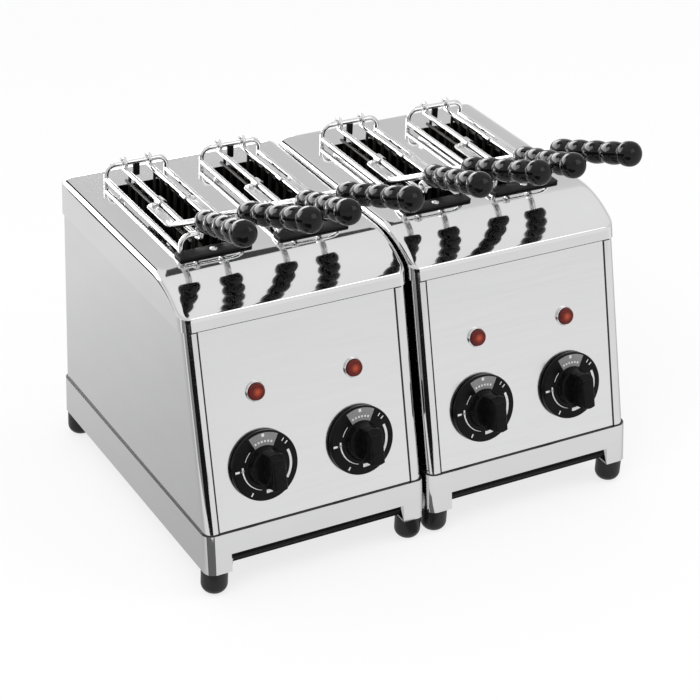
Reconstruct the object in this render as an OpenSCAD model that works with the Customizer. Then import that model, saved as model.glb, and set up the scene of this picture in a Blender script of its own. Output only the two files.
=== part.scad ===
// Counter-top sandwich toaster: two identical two-slot modules side by side,
// each with a leaning control panel, a rolled hood and two lift-out tongs.
// Millimetres, +Z up. The origin is under the middle of the whole toaster, on the worktop.

/* [Modules] */
// Width of one two-slot module
module_w = 188.5; // [180:0.5:200]
// Gap between the hoods of the two modules
module_gap = 3; // [2:0.5:5]
// Depth of a module, from plinth front to plinth back
depth = 270; // [262:1:300]
// Height of the casing between plinth and hood
body_h = 149.5; // [140:0.5:170]
// Lean of the front from upright, in degrees
front_lean = 15.5; // [12:0.5:17]
// Radius of the upright corners
corner_r = 8; // [5:0.5:10]
// Thickness of the folded steel sheet
sheet = 1.2; // [0.8:0.1:1.5]
// Clearance between sheets that slip inside one another
slip = 0.2; // [0.1:0.05:0.4]

/* [Plinth and feet] */
// Height of the rubber feet
foot_h = 20.5; // [16:0.5:26]
// Diameter of a foot
foot_d = 20.5; // [16:0.5:21]
// Radius of the round under-edge of a foot
foot_round = 7.5; // [3:0.5:8]
// Distance of a foot's centre from the plinth's sides
foot_inset = 10.5; // [10.5:0.5:16]
// Height of the plinth
plinth_h = 31; // [27:0.5:40]
// Distance that the plinth's front leans back over its height
plinth_run = 5; // [2:0.5:5.5]
// Distance from the plinth's front to the foot of the leaning casing
front_ledge = 7; // [6:0.5:10]
// Width of the ledge folded in along the plinth's top
ledge_w = 16; // [14:0.5:20]
// Width of the crumb-tray mouth in the plinth's front
mouth_w = 148; // [130:1:154]
// Height of the crumb-tray mouth
mouth_h = 14; // [12:0.5:18]
// How far the floor is cut back behind the mouth
mouth_back = 30; // [20:1:40]

/* [Crumb tray] */
// Clearance between tray and mouth, each side and above
tray_clear = 0.6; // [0.4:0.1:1.5]
// Depth of the tray's rim
tray_h = 7.6; // [6:0.2:9]
// Set-back of the tray's front behind the plinth's front
tray_back = 4; // [3:0.5:8]
// Distance from the tray's back to the plinth's back
tray_room = 30; // [24:1:60]
// Radius of the rolled bead along the tray's front
tray_bead = 1.4; // [1:0.1:2]
// Width of a runner under the tray
runner_w = 8; // [5:0.5:12]

/* [Hood] */
// Height of the hood, from its lower edge to the flat top
hood_h = 29; // [26:0.5:34]
// Height of the upright band along the hood's front
band_h = 9.5; // [7:0.5:12]
// Radius of the roll from the band to the flat top
roll_r = 78; // [66:1:80]
// Radius along the hood's top side edges
hood_edge_r = 4; // [3:0.5:6]
// How far the casing reaches up inside the hood
casing_lap = 7; // [4:0.5:9]

/* [Slots] */
// Width of a module that two slot pitches leave over
slot_margin = 24.5; // [20:0.5:27]
// Width of a slot in the hood
slot_w = 48; // [46:0.5:50]
// Distance from a slot's back end to the plinth's back
slot_back = 34; // [30:0.5:40]
// Distance of the slots' front ends from the plinth's front
slot_y = 112; // [111:0.5:116]
// Corner radius of a slot
slot_r = 3; // [1:0.5:6]

/* [Front panel] */
// Width of the casing's front flanges beside the panel
flange_w = 10.2; // [9:0.1:12]
// Gap between the panel and each flange
panel_gap = 1.1; // [0.8:0.1:2]
// Set-back of the panel's face behind the flanges
panel_recess = 0.4; // [0.2:0.1:1]
// Depth of the panel's folded sides
panel_fold = 9; // [6:0.5:14]
// Height of the knobs above the panel's foot, along the panel
knob_up = 44.4; // [36:0.2:52]
// Height of the pilot lamps above the panel's foot, along the panel
lamp_up = 101; // [92:0.5:112]

/* [Timers and knobs] */
// Diameter of the knob's dial
knob_d = 54; // [46:0.5:58]
// Thickness of the dial
dial_t = 4; // [3:0.2:6]
// Gap between dial and panel face
dial_gap = 0.8; // [0.5:0.1:1.5]
// Diameter of the boss under the finger bar
boss_d = 28; // [24:0.5:34]
// Height of the boss above the dial
boss_h = 7; // [5:0.5:10]
// Width of the finger bar
bar_w = 11; // [8:0.5:13]
// Height of the finger bar above the boss
bar_h = 16; // [10:0.5:18]
// Length of the slope at the finger bar's upper end
bar_slope = 4; // [2:0.5:6]
// Diameter of the timer shaft
shaft_d = 6; // [5:0.1:7]
// Radial running clearance of the shaft in its bush
shaft_clear = 0.05; // [0.02:0.01:0.1]
// Diameter of the timer's threaded bush
bush_d = 10; // [9.4:0.2:12]
// Side of the square timer case
timer_side = 36; // [30:1:42]
// Depth of the timer case
timer_depth = 30; // [26:1:36]

/* [Pilot lamps] */
// Diameter of the lamp's bezel
lamp_d = 15.5; // [14:0.5:18]
// Diameter of the lens
lens_d = 13; // [11.5:0.5:13.5]
// How far the lens stands out of the panel face
lens_out = 4; // [3:0.5:6]
// Diameter of the lamp's body behind the panel
lamp_body_d = 11; // [9:0.5:11.2]
// Length of the lamp's body behind the panel
lamp_body_l = 28; // [20:1:36]

/* [Oven] */
// Distance from the module's sides to the oven's walls
oven_room = 15.25; // [14.5:0.25:16.5]
// Clearance from the slots' ends to the oven's end walls
oven_end = 9; // [9:0.5:10]
// Width of the oven's feet on the plinth ledge
oven_foot = 9; // [6:0.5:12]
// Diameter of a heating tube
heater_d = 10; // [8:0.5:10.5]
// Diameter of a tube's metal ends
heater_pin_d = 7; // [5:0.5:7.5]
// How far the ends reach past the oven's walls
heater_pin_l = 7; // [5:0.5:12]
// Distance of the inner heating tubes from the divider's middle
heater_gap = 6; // [5:0.25:7]
// Number of heating tubes on each side of a slot
heater_rows = 3; // [2:1:4]
// Height of the lowest heating tube above the plinth's top
heater_low = 62; // [50:1:70]
// Distance between heating tubes
heater_pitch = 36; // [30:1:38]

/* [Tong frame] */
// Diameter of the frame's wire
wire_d = 4; // [3.2:0.2:4.4]
// Distance between the two side rails
rail_spread = 51; // [50:0.5:53]
// Height of the side rails above the hood
rail_h = 5; // [4.5:0.1:5]
// Height of the guide bars above the hood
guide_h = 16; // [15.6:0.2:18]
// Room left between the jaws' loops and the guide bars' bends when spread
bend_clear = 2; // [1:0.1:3]
// Distance from a slot's end to its guide bar
guide_out = 4; // [3.5:0.5:5]
// Gap between the frame's feet and the hood
frame_gap = 0.2; // [0.1:0.05:0.4]
// Depth of the plate in front of the slot
plate_d = 13; // [11:0.5:13]
// Thickness of that plate
plate_t = 2; // [1.5:0.1:2.4]
// Room left between the jaws and the stop on the rear guide bar when gripped
stop_clear = 0.6; // [0.4:0.1:1]

/* [Tong jaws] */
// Distance between the two jaw rods as shown
jaw_gap = 21; // [20.5:0.1:24]
// Diameter of a jaw rod
rod_d = 4.5; // [4:0.1:4.8]
// Diameter of the grid's wires
grid_d = 2.5; // [2:0.1:2.8]
// Depth of the jaws below the hood's top
jaw_depth = 118; // [100:1:125]
// Number of upright wires in a jaw
grid_columns = 10; // [5:1:11]
// Distance from a slot's ends to the first and last upright wire
grid_end = 6; // [5:0.5:12]
// Number of level wires in a jaw
grid_rows = 4; // [2:1:6]
// Reach of the bread rests at the jaws' feet
rest_reach = 5; // [3:0.25:5.2]
// Diameter of the wire of the sliding loops
loop_d = 3; // [2.4:0.1:3]
// Clearance of a sliding loop round its guide bar
loop_clear = 0.5; // [0.35:0.05:0.8]
// How far each jaw slides in to grip
jaw_squeeze = 5; // [3:0.1:5]
// How far each jaw slides out to take a sandwich
jaw_spread = 4; // [2:0.1:4.2]

/* [Arms and grips] */
// Length of the clip on the rod, as a share of the bay between two upright wires
clip_share = 0.8; // [0.5:0.05:0.9]
// Wall of the clip round the rod
clip_wall = 1.6; // [1.2:0.1:1.8]
// Width of the arm's flat strip
strip_w = 8; // [6:0.2:9]
// Thickness of the strip
strip_t = 1.6; // [1.2:0.1:1.8]
// Gap between the rod and the strip beside it
strip_gap = 0.7; // [0.4:0.1:1.2]
// Gap between the strip and the level of the rails
strip_clear = 0.8; // [0.5:0.1:1]
// Tilt of the strip, in degrees
strip_tilt = 10; // [5:1:15]
// Distance of the strip's front end from the front guide bar
strip_front = 32; // [26:0.5:40]
// Diameter of the arm's shank
shank_d = 5; // [4:0.1:5.4]
// Half distance between the two grips' inner ends
grip_half = 16.3; // [15.5:0.1:17]
// Height of the grips' inner ends above the hood
grip_base_h = 34.3; // [33:0.1:40]
// Distance of the grips' inner ends ahead of the front guide bar
grip_base_y = 15.3; // [13:0.1:18]
// Length of a grip from its inner end to the middle of its end knob
grip_l = 88; // [76:0.5:90]
// Rise of the grips, in degrees
grip_rise = 19.2; // [16:0.1:24]
// Splay of each grip, in degrees
grip_splay = 6.5; // [4:0.1:6.6]
// Diameter of the grip's beads
grip_d = 18; // [15:0.2:18.6]
// Diameter of the grip's waists
waist_d = 14; // [12:0.2:15]
// Diameter of the end knob
grip_end_d = 19.5; // [17:0.1:19.6]
// Number of beads
grip_beads = 4; // [3:1:6]
// Length of the steel tang inside a grip
tang_l = 40; // [25:1:60]

/* [Fixings] */
// Height of the dome of a cable gland behind the back panel
gland_out = 12; // [10:0.5:16]
// Diameter of a cable gland's dome
gland_d = 18; // [16:0.5:20]
// Diameter of the cable passage
gland_bore = 9; // [7:0.5:10]
// Diameter of the bolts that join the modules
tie_d = 6; // [5:0.5:8]
// Diameter of the back panel's screw heads
screw_head_d = 7; // [6:0.5:8]
// Diameter of the back panel's screws
screw_d = 3.6; // [3:0.2:4]
// Width of the casing's rim round the back panel
back_rim = 14; // [13:0.5:18]

/* [Hidden] */
$fn = 64;

// Heights of the main levels
plinth_top = foot_h + plinth_h;
plinth_lean = atan(plinth_run / plinth_h);
hood_low = plinth_top + body_h;
hood_top = hood_low + hood_h;

// Places across the toaster: module middles, then slots counted from the left
module_x = (module_w + module_gap) / 2;
slot_pitch = (module_w - slot_margin) / 2;
slot_x = [for (m = [-1, 1]) for (s = [-1, 1]) m * module_x + s * slot_pitch / 2];

// The casing slips inside the hood, and the back panel inside the casing
casing_inset = sheet + slip;
back_face = depth - casing_inset - sheet - slip;
through = 1;

// The toaster's middle in depth, from the finger bars' tips to the glands, is the origin
knob_h = dial_gap + dial_t + boss_h + bar_h;
knob_tip_y = front_ledge + (panel_recess - knob_h) * cos(front_lean) + (knob_up - boss_d / 2) * sin(front_lean);
gland_l = gland_out + depth - back_face - casing_inset;
origin_y = (min(0, knob_tip_y) + back_face + gland_l) / 2;
prism_l = 4 * (body_h + hood_h);

// Length of the slots and of the crumb tray
slot_l = depth - slot_y - slot_back;
tray_l = depth - tray_back - tray_room;

// Front of the hood's band at its lower edge, and the start of the flat top
band_y = front_ledge - casing_inset / cos(front_lean) + body_h * tan(front_lean);
roll_start = band_y + band_h * tan(front_lean);
roll_drop = hood_h - band_h;
roll_y = roll_start + sqrt(pow(roll_r, 2) - pow(roll_r - roll_drop, 2));

// Panel sizes along the lean
window_w = module_w - 2 * (casing_inset + flange_w);
panel_w = window_w - 2 * panel_gap;
panel_seat = 0.7;
panel_l = (body_h + casing_lap - slip) / cos(front_lean) - panel_seat;
panel_face = panel_recess;

// Crumb tray sizes
tray_w = mouth_w - 2 * tray_clear;
tray_top = foot_h + mouth_h - tray_clear;
tray_low = tray_top - tray_h;

// Oven box
oven_y0 = slot_y - oven_end;
oven_y1 = slot_y + slot_l + oven_end + 1;
oven_h = hood_top - sheet - slip - plinth_top;
oven_w = module_w - 2 * oven_room;
heater_off = slot_pitch / 2 - heater_d / 2 - heater_gap;

// Tong levels, measured from the hood's top
guide_front_y = slot_y - guide_out;
guide_back_y = slot_y + slot_l + guide_out + 1;
loop_r = wire_d / 2 + loop_clear + loop_d / 2;
rod_h = guide_h - max(loop_r, (wire_d + rod_d) / 2 + slip);
rod_clear = 0.02;
weld_gap = 0.05;
weld_sink = 0.3;
guide_bend = rail_spread / 2 - jaw_gap / 2 - loop_d / 2 - jaw_spread - bend_clear;
stop_half = jaw_gap / 2 - max(loop_d, rod_d) / 2 - jaw_squeeze - stop_clear;

// Upright wires of a jaw, and the clip in the middle bay between them
column_0 = slot_y + grid_end;
column_step = (slot_l - 2 * grid_end) / (grid_columns - 1);
clip_y = column_0 + (ceil(grid_columns / 2) - 0.5) * column_step;
clip_l = clip_share * (column_step - grid_d);
strip_half = strip_w / 2 * cos(strip_tilt);
strip_drop = strip_w / 2 * sin(strip_tilt);
strip_x = jaw_gap / 2 + rod_d / 2 + strip_gap + strip_half;
strip_h = rail_h + wire_d / 2 + strip_clear + strip_t / 2 + strip_drop;
shank_y = guide_front_y + strip_front;
shank_x = strip_x;
grip_y = guide_front_y - grip_base_y;
tang_clear = 0.03;
grip_start = shank_d / 2 + 0.6;

// Set of frames

// Moves a shape drawn from the plinth's front into the part's own frame
module at_origin() {
    translate([0, -origin_y, 0]) children();
}

// Places a shape in the left (-1) or the right (1) module
module in_module(side) {
    at_origin() translate([side * module_x, 0, 0]) children();
}

// Frame of the leaning front: x across, y inwards, z up along the casing's face
module on_front() {
    translate([0, front_ledge, plinth_top]) rotate([-front_lean, 0, 0]) children();
}

// Frame of a fitting on the front: z points out of the panel's face
module on_panel(up) {
    on_front() translate([0, panel_face, up]) rotate([90, 0, 0]) children();
}

// Frame of a tong: middle of its slot, z from the hood's top
module at_slot(n) {
    at_origin() translate([slot_x[n - 1], 0, hood_top]) children();
}

// Shared outlines

// Rectangle from y = 0 backwards whose two front corners are round
module round_front(w, l, r) {
    translate([-w / 2, r]) square([w, l - r]);
    translate([-w / 2 + r, 0]) square([w - 2 * r, r]);
    for (s = [-1, 1]) translate([s * (w / 2 - r), r]) circle(r);
}

// Rectangle about the origin with four round corners
module round_plate(w, l, r) {
    square([w - 2 * r, l], center = true);
    square([w, l - 2 * r], center = true);
    for (sx = [-1, 1], sy = [-1, 1]) translate([sx * (w / 2 - r), sy * (l / 2 - r)]) circle(r);
}

// Half section of a wide roller about its axle: radius along x, width along y, rim edges round
module rim_half(w, r, edge) {
    translate([0, -w / 2]) square([r - edge, w]);
    translate([0, -w / 2 + edge]) square([r, w - 2 * edge]);
    for (s = [-1, 1]) translate([r - edge, s * (w / 2 - edge)]) circle(edge);
}

// Solid of a module above the plinth, shrunk on every side by inset
module body_form(inset, z0, z1) {
    intersection() {
        on_front() translate([0, inset - casing_inset, -prism_l / 2])
            linear_extrude(prism_l) round_front(module_w - 2 * inset, 2 * depth, corner_r - inset);
        translate([0, depth - inset, z0]) mirror([0, 1, 0])
            linear_extrude(z1 - z0) round_front(module_w - 2 * inset, 2 * depth, corner_r - inset);
    }
}

// Solid of the hood: the body cut by the rolled front and the round side edges
module hood_form(inset, z0) {
    w = module_w - 2 * inset;
    intersection() {
        body_form(inset, z0, hood_top - inset);
        union() {
            translate([0, roll_y, hood_top - roll_r]) rotate([0, 90, 0]) rotate([0, 0, 180])
                rotate_extrude(angle = 90, $fn = 256) rim_half(w, roll_r - inset, hood_edge_r - inset);
            translate([0, roll_y, hood_top - inset]) rotate([-90, 0, 0])
                linear_extrude(depth) round_front(w, hood_h + 4 * through + casing_lap, hood_edge_r - inset);
        }
    }
}

// Plinth, floor and feet

// Solid of the plinth between two levels above its foot, shrunk on every side by inset, its front leaning back
module plinth_form(inset, z0, z1) {
    intersection() {
        rotate([-plinth_lean, 0, 0]) translate([0, inset, -plinth_h])
            linear_extrude(3 * plinth_h) round_front(module_w - 2 * inset, 2 * depth, corner_r - inset);
        translate([0, depth - inset, z0]) mirror([0, 1, 0])
            linear_extrude(z1 - z0) round_front(module_w - 2 * inset, 2 * depth, corner_r - inset);
    }
}

// Folded band that carries the module, with a ledge inside and the tray's mouth in front
module plinth(side) {
    color("gainsboro") in_module(side) translate([0, 0, foot_h]) difference() {
        plinth_form(0, 0, plinth_h);
        plinth_form(sheet, -through, plinth_h - sheet);
        translate([0, depth / 2, -through]) linear_extrude(plinth_h + 2 * through)
            square([module_w - 2 * ledge_w, depth - 2 * ledge_w], center = true);
        translate([-mouth_w / 2, -through, -through])
            cube([mouth_w, plinth_run + sheet + 2 * through, mouth_h + through]);
    }
}

// Floor plate with the two runners that the crumb tray slides on
module floor_plate(side) {
    runner_h = tray_low - slip - foot_h;
    color("darkgray") in_module(side) translate([0, 0, foot_h]) {
        difference() {
            plinth_form(sheet + slip, 0, sheet);
            translate([-mouth_w / 2, -through, -through])
                cube([mouth_w, mouth_back + through, sheet + 2 * through]);
        }
        for (s = [-1, 1])
            translate([s * (tray_w / 2 - runner_w) - runner_w / 2, mouth_back, sheet / 2])
                cube([runner_w, depth - 2 * mouth_back, runner_h - sheet / 2]);
    }
}

// Turned outline of a foot: straight side, round under-edge, small flat to stand on
module rubber_feet() {
    color("black") for (side = [-1, 1], sx = [-1, 1], sy = [-1, 1])
        in_module(side)
            translate([sx * (module_w / 2 - foot_inset), depth / 2 + sy * (depth / 2 - foot_inset), 0])
                rotate_extrude() {
                    translate([0, foot_round]) square([foot_d / 2, foot_h - foot_round]);
                    square([foot_d / 2 - foot_round, foot_round]);
                    translate([foot_d / 2 - foot_round, foot_round]) intersection() {
                        circle(foot_round);
                        translate([0, -foot_round]) square(foot_round);
                    }
                }
}

// Shallow tray with a rolled bead along its front edge
module crumb_tray(side) {
    front = tray_back;
    color("dimgray") in_module(side) difference() {
        union() {
            translate([-tray_w / 2, front, tray_low]) cube([tray_w, tray_l, tray_h]);
            translate([-tray_w / 2, front, tray_low + tray_h / 2]) rotate([0, 90, 0])
                cylinder(r = tray_bead, h = tray_w);
        }
        translate([-tray_w / 2 + sheet, front + 2 * tray_bead, tray_low + sheet])
            cube([tray_w - 2 * sheet, tray_l - 2 * tray_bead - sheet, tray_h]);
    }
}

// Casing, panels and hood

// Points on the facing walls where bolts join the two modules
tie_points = [for (y = [0.42, 0.86], z = [0.2, 0.8]) [y * depth, plinth_top + z * body_h]];
tie_hole = tie_d + 2 * slip;

// Screw places on the casing's back rim
back_w = module_w - 2 * casing_inset - 2 * back_rim;
screw_points = [for (x = [-1, 1], z = [0.15, 0.5, 0.85]) [x * (back_w / 2 + back_rim / 4), plinth_top + z * body_h]];
screw_hole = screw_d + slip;

// Wrapped sheet: two sides, round corners, narrow front flanges and a rimmed back
module casing(side) {
    top = hood_low + casing_lap;
    color("silver") in_module(side) difference() {
        body_form(casing_inset, plinth_top, top);
        body_form(casing_inset + sheet, plinth_top - through, top + through);
        on_front() translate([-window_w / 2, -corner_r, -2 * corner_r])
            cube([window_w, 2 * corner_r, panel_l + 4 * corner_r]);
        translate([-back_w / 2, depth - 2 * corner_r, plinth_top + back_rim])
            cube([back_w, 3 * corner_r, body_h - 2 * back_rim]);
        for (p = tie_points) translate([-side * module_w / 2, p[0], p[1]]) rotate([0, 90, 0])
            cylinder(d = tie_hole, h = 4 * casing_inset + 4 * sheet, center = true);
        for (p = screw_points) translate([p[0], depth, p[1]]) rotate([90, 0, 0])
            cylinder(d = screw_hole, h = 4 * casing_inset + 4 * sheet, center = true);
    }
}

// Flat front panel with folded sides and the holes for lamps and timers
module front_panel(side) {
    fold_start = panel_seat + panel_fold * tan(front_lean) + slip;
    color("whitesmoke") in_module(side) on_front() difference() {
        union() {
            translate([-panel_w / 2, panel_face, panel_seat]) cube([panel_w, sheet, panel_l]);
            for (s = [-1, 1])
                translate([s * (panel_w - sheet) / 2 - sheet / 2, panel_face, fold_start])
                    cube([sheet, panel_fold, panel_l + panel_seat - fold_start]);
        }
        for (s = [-1, 1]) {
            translate([s * slot_pitch / 2, 0, knob_up]) rotate([90, 0, 0])
                cylinder(d = bush_d + 2 * slip, h = 4 * sheet + 2 * panel_face, center = true);
            translate([s * slot_pitch / 2, 0, lamp_up]) rotate([90, 0, 0])
                cylinder(d = lamp_body_d + 2 * slip, h = 4 * sheet + 2 * panel_face, center = true);
        }
    }
}

// Place of the cable gland on the back panel
gland_x = back_w / 4;
gland_z = plinth_top + back_rim + gland_d;

// Rear cover behind the casing's rim, with cooling slots and the cable passage
module back_panel(side) {
    lap = back_rim + casing_inset - corner_r - slip;
    vents = 6;
    vent_pitch = 9;
    vent_h = 3.5;
    vent_w = back_w * 0.55;
    vent_z = plinth_top + 0.62 * body_h;
    color("silver") in_module(side) difference() {
        translate([-back_w / 2 - lap, back_face - sheet, plinth_top + back_rim - lap])
            cube([back_w + 2 * lap, sheet, body_h - 2 * back_rim + 2 * lap]);
        for (i = [0:vents - 1])
            translate([0, back_face, vent_z + (i - (vents - 1) / 2) * vent_pitch]) rotate([90, 0, 0])
                linear_extrude(4 * sheet, center = true) round_plate(vent_w, vent_h, vent_h / 2 - 0.05);
        translate([side * gland_x, back_face, gland_z]) rotate([90, 0, 0])
            cylinder(d = gland_d * 0.75 + slip, h = 4 * sheet, center = true);
        for (p = screw_points) translate([p[0], back_face, p[1]]) rotate([90, 0, 0])
            cylinder(d = screw_hole, h = 4 * sheet, center = true);
    }
}

// Pressed lid: flat top with two slots, rolled front, short skirt all round
module hood(side) {
    color("lightgray") in_module(side) difference() {
        hood_form(0, hood_low);
        hood_form(sheet, hood_low - 2 * through);
        for (s = [-1, 1])
            translate([s * slot_pitch / 2, slot_y + slot_l / 2, hood_top - 4 * sheet])
                linear_extrude(8 * sheet) round_plate(slot_w, slot_l, slot_r);
    }
}

// Oven

// Across and up places of the heating tubes in a module
heater_places = [
    for (s = [-1, 1], side = [-1, 1], i = [0:heater_rows - 1])
        [s * slot_pitch / 2 + side * heater_off, plinth_top + heater_low + i * heater_pitch]
];

// Open box of four walls and a divider, standing on the plinth's ledge
module oven(side) {
    l = oven_y1 - oven_y0;
    color("slategray") in_module(side) translate([0, oven_y0, plinth_top]) difference() {
        union() {
            for (y = [0, l - sheet]) translate([-oven_w / 2, y, 0]) cube([oven_w, sheet, oven_h]);
            for (s = [-1, 1]) {
                translate([s * (oven_w - sheet) / 2 - sheet / 2, 0, 0]) cube([sheet, l, oven_h]);
                translate([s * (oven_w + oven_foot - sheet) / 2 - (oven_foot + sheet) / 2, 0, 0])
                    cube([oven_foot + sheet, l, sheet]);
            }
            translate([-sheet / 2, 0, 0]) cube([sheet, l, oven_h]);
        }
        for (p = heater_places) translate([p[0], -through, p[1] - plinth_top]) rotate([-90, 0, 0])
            cylinder(d = heater_pin_d + 2 * slip, h = l + 2 * through);
    }
}

// Quartz tubes whose metal ends sit in the oven's end walls
module heating_tubes() {
    l = oven_y1 - oven_y0;
    tube = l - 2 * sheet - 2 * slip;
    color("ivory") for (side = [-1, 1], p = heater_places)
        in_module(side) translate([p[0], (oven_y0 + oven_y1) / 2, p[1]]) rotate([90, 0, 0]) {
            cylinder(d = heater_d, h = tube, center = true);
            cylinder(d = heater_pin_d, h = l + 2 * heater_pin_l, center = true);
        }
}

// Controls

// Square timer case with its threaded bush and the bore for the shaft
module timers() {
    bush_out = 2;
    bore_l = timer_depth * 0.4;
    color("saddlebrown") for (side = [-1, 1], s = [-1, 1])
        in_module(side) on_panel(knob_up) translate([s * slot_pitch / 2, 0, 0]) difference() {
            union() {
                translate([0, 0, -sheet - slip / 2 - timer_depth / 2])
                    cube([timer_side, timer_side, timer_depth], center = true);
                translate([0, 0, -sheet - timer_depth / 2]) cylinder(d = bush_d, h = timer_depth / 2 + sheet + dial_gap / 2);
            }
            translate([0, 0, -sheet - bore_l]) cylinder(d = shaft_d + 2 * shaft_clear, h = bore_l + sheet + bush_out);
        }
}

// Steel shaft between a timer and its knob
shaft_in = timer_depth * 0.4 - 1;
shaft_out = dial_gap + dial_t + boss_h - 1;
module timer_shaft(n) {
    color("gainsboro") at_origin() translate([slot_x[n - 1], 0, 0]) on_panel(knob_up)
        translate([0, 0, -sheet - shaft_in]) cylinder(d = shaft_d, h = sheet + shaft_in + shaft_out);
}

// Black knob: thin dial, round boss and a raised finger bar
module knob(n) {
    edge = dial_t * 0.4;
    color("black") at_origin() translate([slot_x[n - 1], 0, 0]) on_panel(knob_up) translate([0, 0, dial_gap]) difference() {
        union() {
            rotate_extrude() {
                square([knob_d / 2, dial_t - edge]);
                square([knob_d / 2 - edge, dial_t]);
                translate([knob_d / 2 - edge, dial_t - edge]) circle(edge);
            }
            cylinder(d1 = boss_d + 2, d2 = boss_d, h = dial_t + boss_h);
            difference() {
                intersection() {
                    cylinder(d = boss_d, h = dial_t + boss_h + bar_h);
                    translate([-bar_w / 2, -boss_d, 0]) cube([bar_w, 2 * boss_d, dial_t + boss_h + bar_h]);
                }
                translate([0, boss_d / 2 - bar_slope, dial_t + boss_h + bar_h]) rotate([-45, 0, 0])
                    translate([-boss_d, -boss_d, 0]) cube(2 * boss_d);
            }
        }
        translate([0, 0, -through]) cylinder(d = shaft_d + 2 * rod_clear, h = through + dial_t + boss_h - 1 + slip);
    }
}

// Lamp body with its bezel against the panel's face
bezel_t = 1.6;
module pilot_bodies() {
    color("gainsboro") for (side = [-1, 1], s = [-1, 1])
        in_module(side) on_panel(lamp_up) translate([s * slot_pitch / 2, 0, 0]) difference() {
            union() {
                translate([0, 0, slip / 2]) cylinder(d = lamp_d, h = bezel_t);
                translate([0, 0, -sheet - lamp_body_l]) cylinder(d = lamp_body_d, h = lamp_body_l + sheet + bezel_t);
            }
            translate([0, 0, bezel_t / 2 + slip / 2]) cylinder(d = lens_d + 2 * rod_clear, h = bezel_t);
        }
}

// Red lens cap seated in the bezel
module pilot_lenses() {
    edge = 1;
    color("firebrick") for (side = [-1, 1], s = [-1, 1])
        in_module(side) on_panel(lamp_up)
            translate([s * slot_pitch / 2, 0, bezel_t / 2 + slip / 2]) {
                h = lens_out - bezel_t / 2;
                cylinder(d = lens_d, h = h - edge);
                translate([0, 0, h - edge]) cylinder(d1 = lens_d, d2 = lens_d - 2 * edge, h = edge);
            }
}

// Fixings

// Hexagon and dome of a cable gland, its threaded stem through the back panel
module cable_glands() {
    hex = 4;
    nut = 4;
    color("black") for (side = [-1, 1])
        in_module(side) translate([side * gland_x, back_face, gland_z]) rotate([-90, 0, 0]) difference() {
            union() {
                cylinder(d = gland_d * 1.3, h = hex, $fn = 6);
                cylinder(d = gland_d, h = gland_l);
                translate([0, 0, -sheet - 2 * nut]) cylinder(d = gland_d * 0.75, h = sheet + 2 * nut + hex);
                translate([0, 0, -sheet - nut]) cylinder(d = gland_d * 1.3, h = nut, $fn = 6);
            }
            translate([0, 0, -3 * nut - sheet]) cylinder(d = gland_bore, h = 2 * gland_l + 3 * nut);
        }
}

// Pan-head screws that hold the back panels to the casings
module panel_screws() {
    head_h = 2.2;
    back = depth - casing_inset;
    color("silver") for (side = [-1, 1], p = screw_points)
        in_module(side) translate([p[0], back, p[1]]) rotate([-90, 0, 0]) {
            cylinder(d = screw_head_d, h = min(head_h, casing_inset + gland_out - 2));
            translate([0, 0, -2 * sheet - slip - 3]) cylinder(d = screw_d, h = 2 * sheet + slip + 3 + head_h / 2);
        }
}

// Bolts and spacers between the two casings
module tie_bolts() {
    span = module_gap + 2 * casing_inset;
    head_h = 4;
    spacer_gap = slip / 2;
    color("gray") at_origin() for (p = tie_points) translate([0, p[0], p[1]]) rotate([0, 90, 0]) {
        cylinder(d = 2.2 * tie_d, h = span - 2 * spacer_gap, center = true);
        cylinder(d = tie_d, h = span + 2 * sheet + 2 * head_h, center = true);
        for (s = [-1, 1]) translate([0, 0, s * (span / 2 + sheet + slip + head_h / 2)])
            cylinder(d = 1.8 * tie_d, h = head_h, center = true);
    }
}

// Tongs

// One wire arch across the slot: two posts, two bends and the guide bar between them
module guide_arch() {
    half = rail_spread / 2;
    straight = guide_h - guide_bend - frame_gap;
    for (s = [-1, 1]) {
        translate([s * half, 0, frame_gap]) cylinder(d = wire_d, h = straight);
        translate([s * (half - guide_bend), 0, guide_h - guide_bend]) rotate([90, 0, s > 0 ? 0 : 180])
            rotate_extrude(angle = 90) translate([guide_bend, 0]) circle(d = wire_d);
    }
    translate([0, 0, guide_h]) rotate([0, 90, 0])
        cylinder(d = wire_d, h = rail_spread - 2 * guide_bend, center = true);
}

// Wire frame that stands over the slot: two arches, two rails, the front plate and the jaw stop
module tong_frame(n) {
    half = rail_spread / 2;
    span = guide_back_y - guide_front_y;
    plate_w = rail_spread + 2 * wire_d;
    stop_h = 12;
    stop_hole = 3;
    color("silver") at_slot(n) {
        for (y = [guide_front_y, guide_back_y]) translate([0, y, 0]) guide_arch();
        for (s = [-1, 1]) translate([s * half, guide_front_y, rail_h]) rotate([-90, 0, 0])
            cylinder(d = wire_d, h = span);
        translate([-plate_w / 2, guide_front_y + wire_d - plate_d, frame_gap]) cube([plate_w, plate_d, plate_t]);
        translate([0, guide_front_y + wire_d - plate_d / 2, frame_gap]) cylinder(d = 2 * plate_t + 2, h = plate_t + 1.2);
        translate([0, guide_back_y, guide_h]) rotate([90, 0, 0]) difference() {
            translate([-stop_half, -stop_h, -plate_t / 2]) cube([2 * stop_half, stop_h, plate_t]);
            translate([0, -stop_h * 0.6, 0]) cylinder(d = stop_hole, h = 2 * plate_t, center = true);
        }
    }
}

// Wire ring that slides along a guide bar
module sliding_loop() {
    rotate([0, 90, 0]) rotate_extrude() translate([loop_r, 0]) circle(d = loop_d);
}

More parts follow.
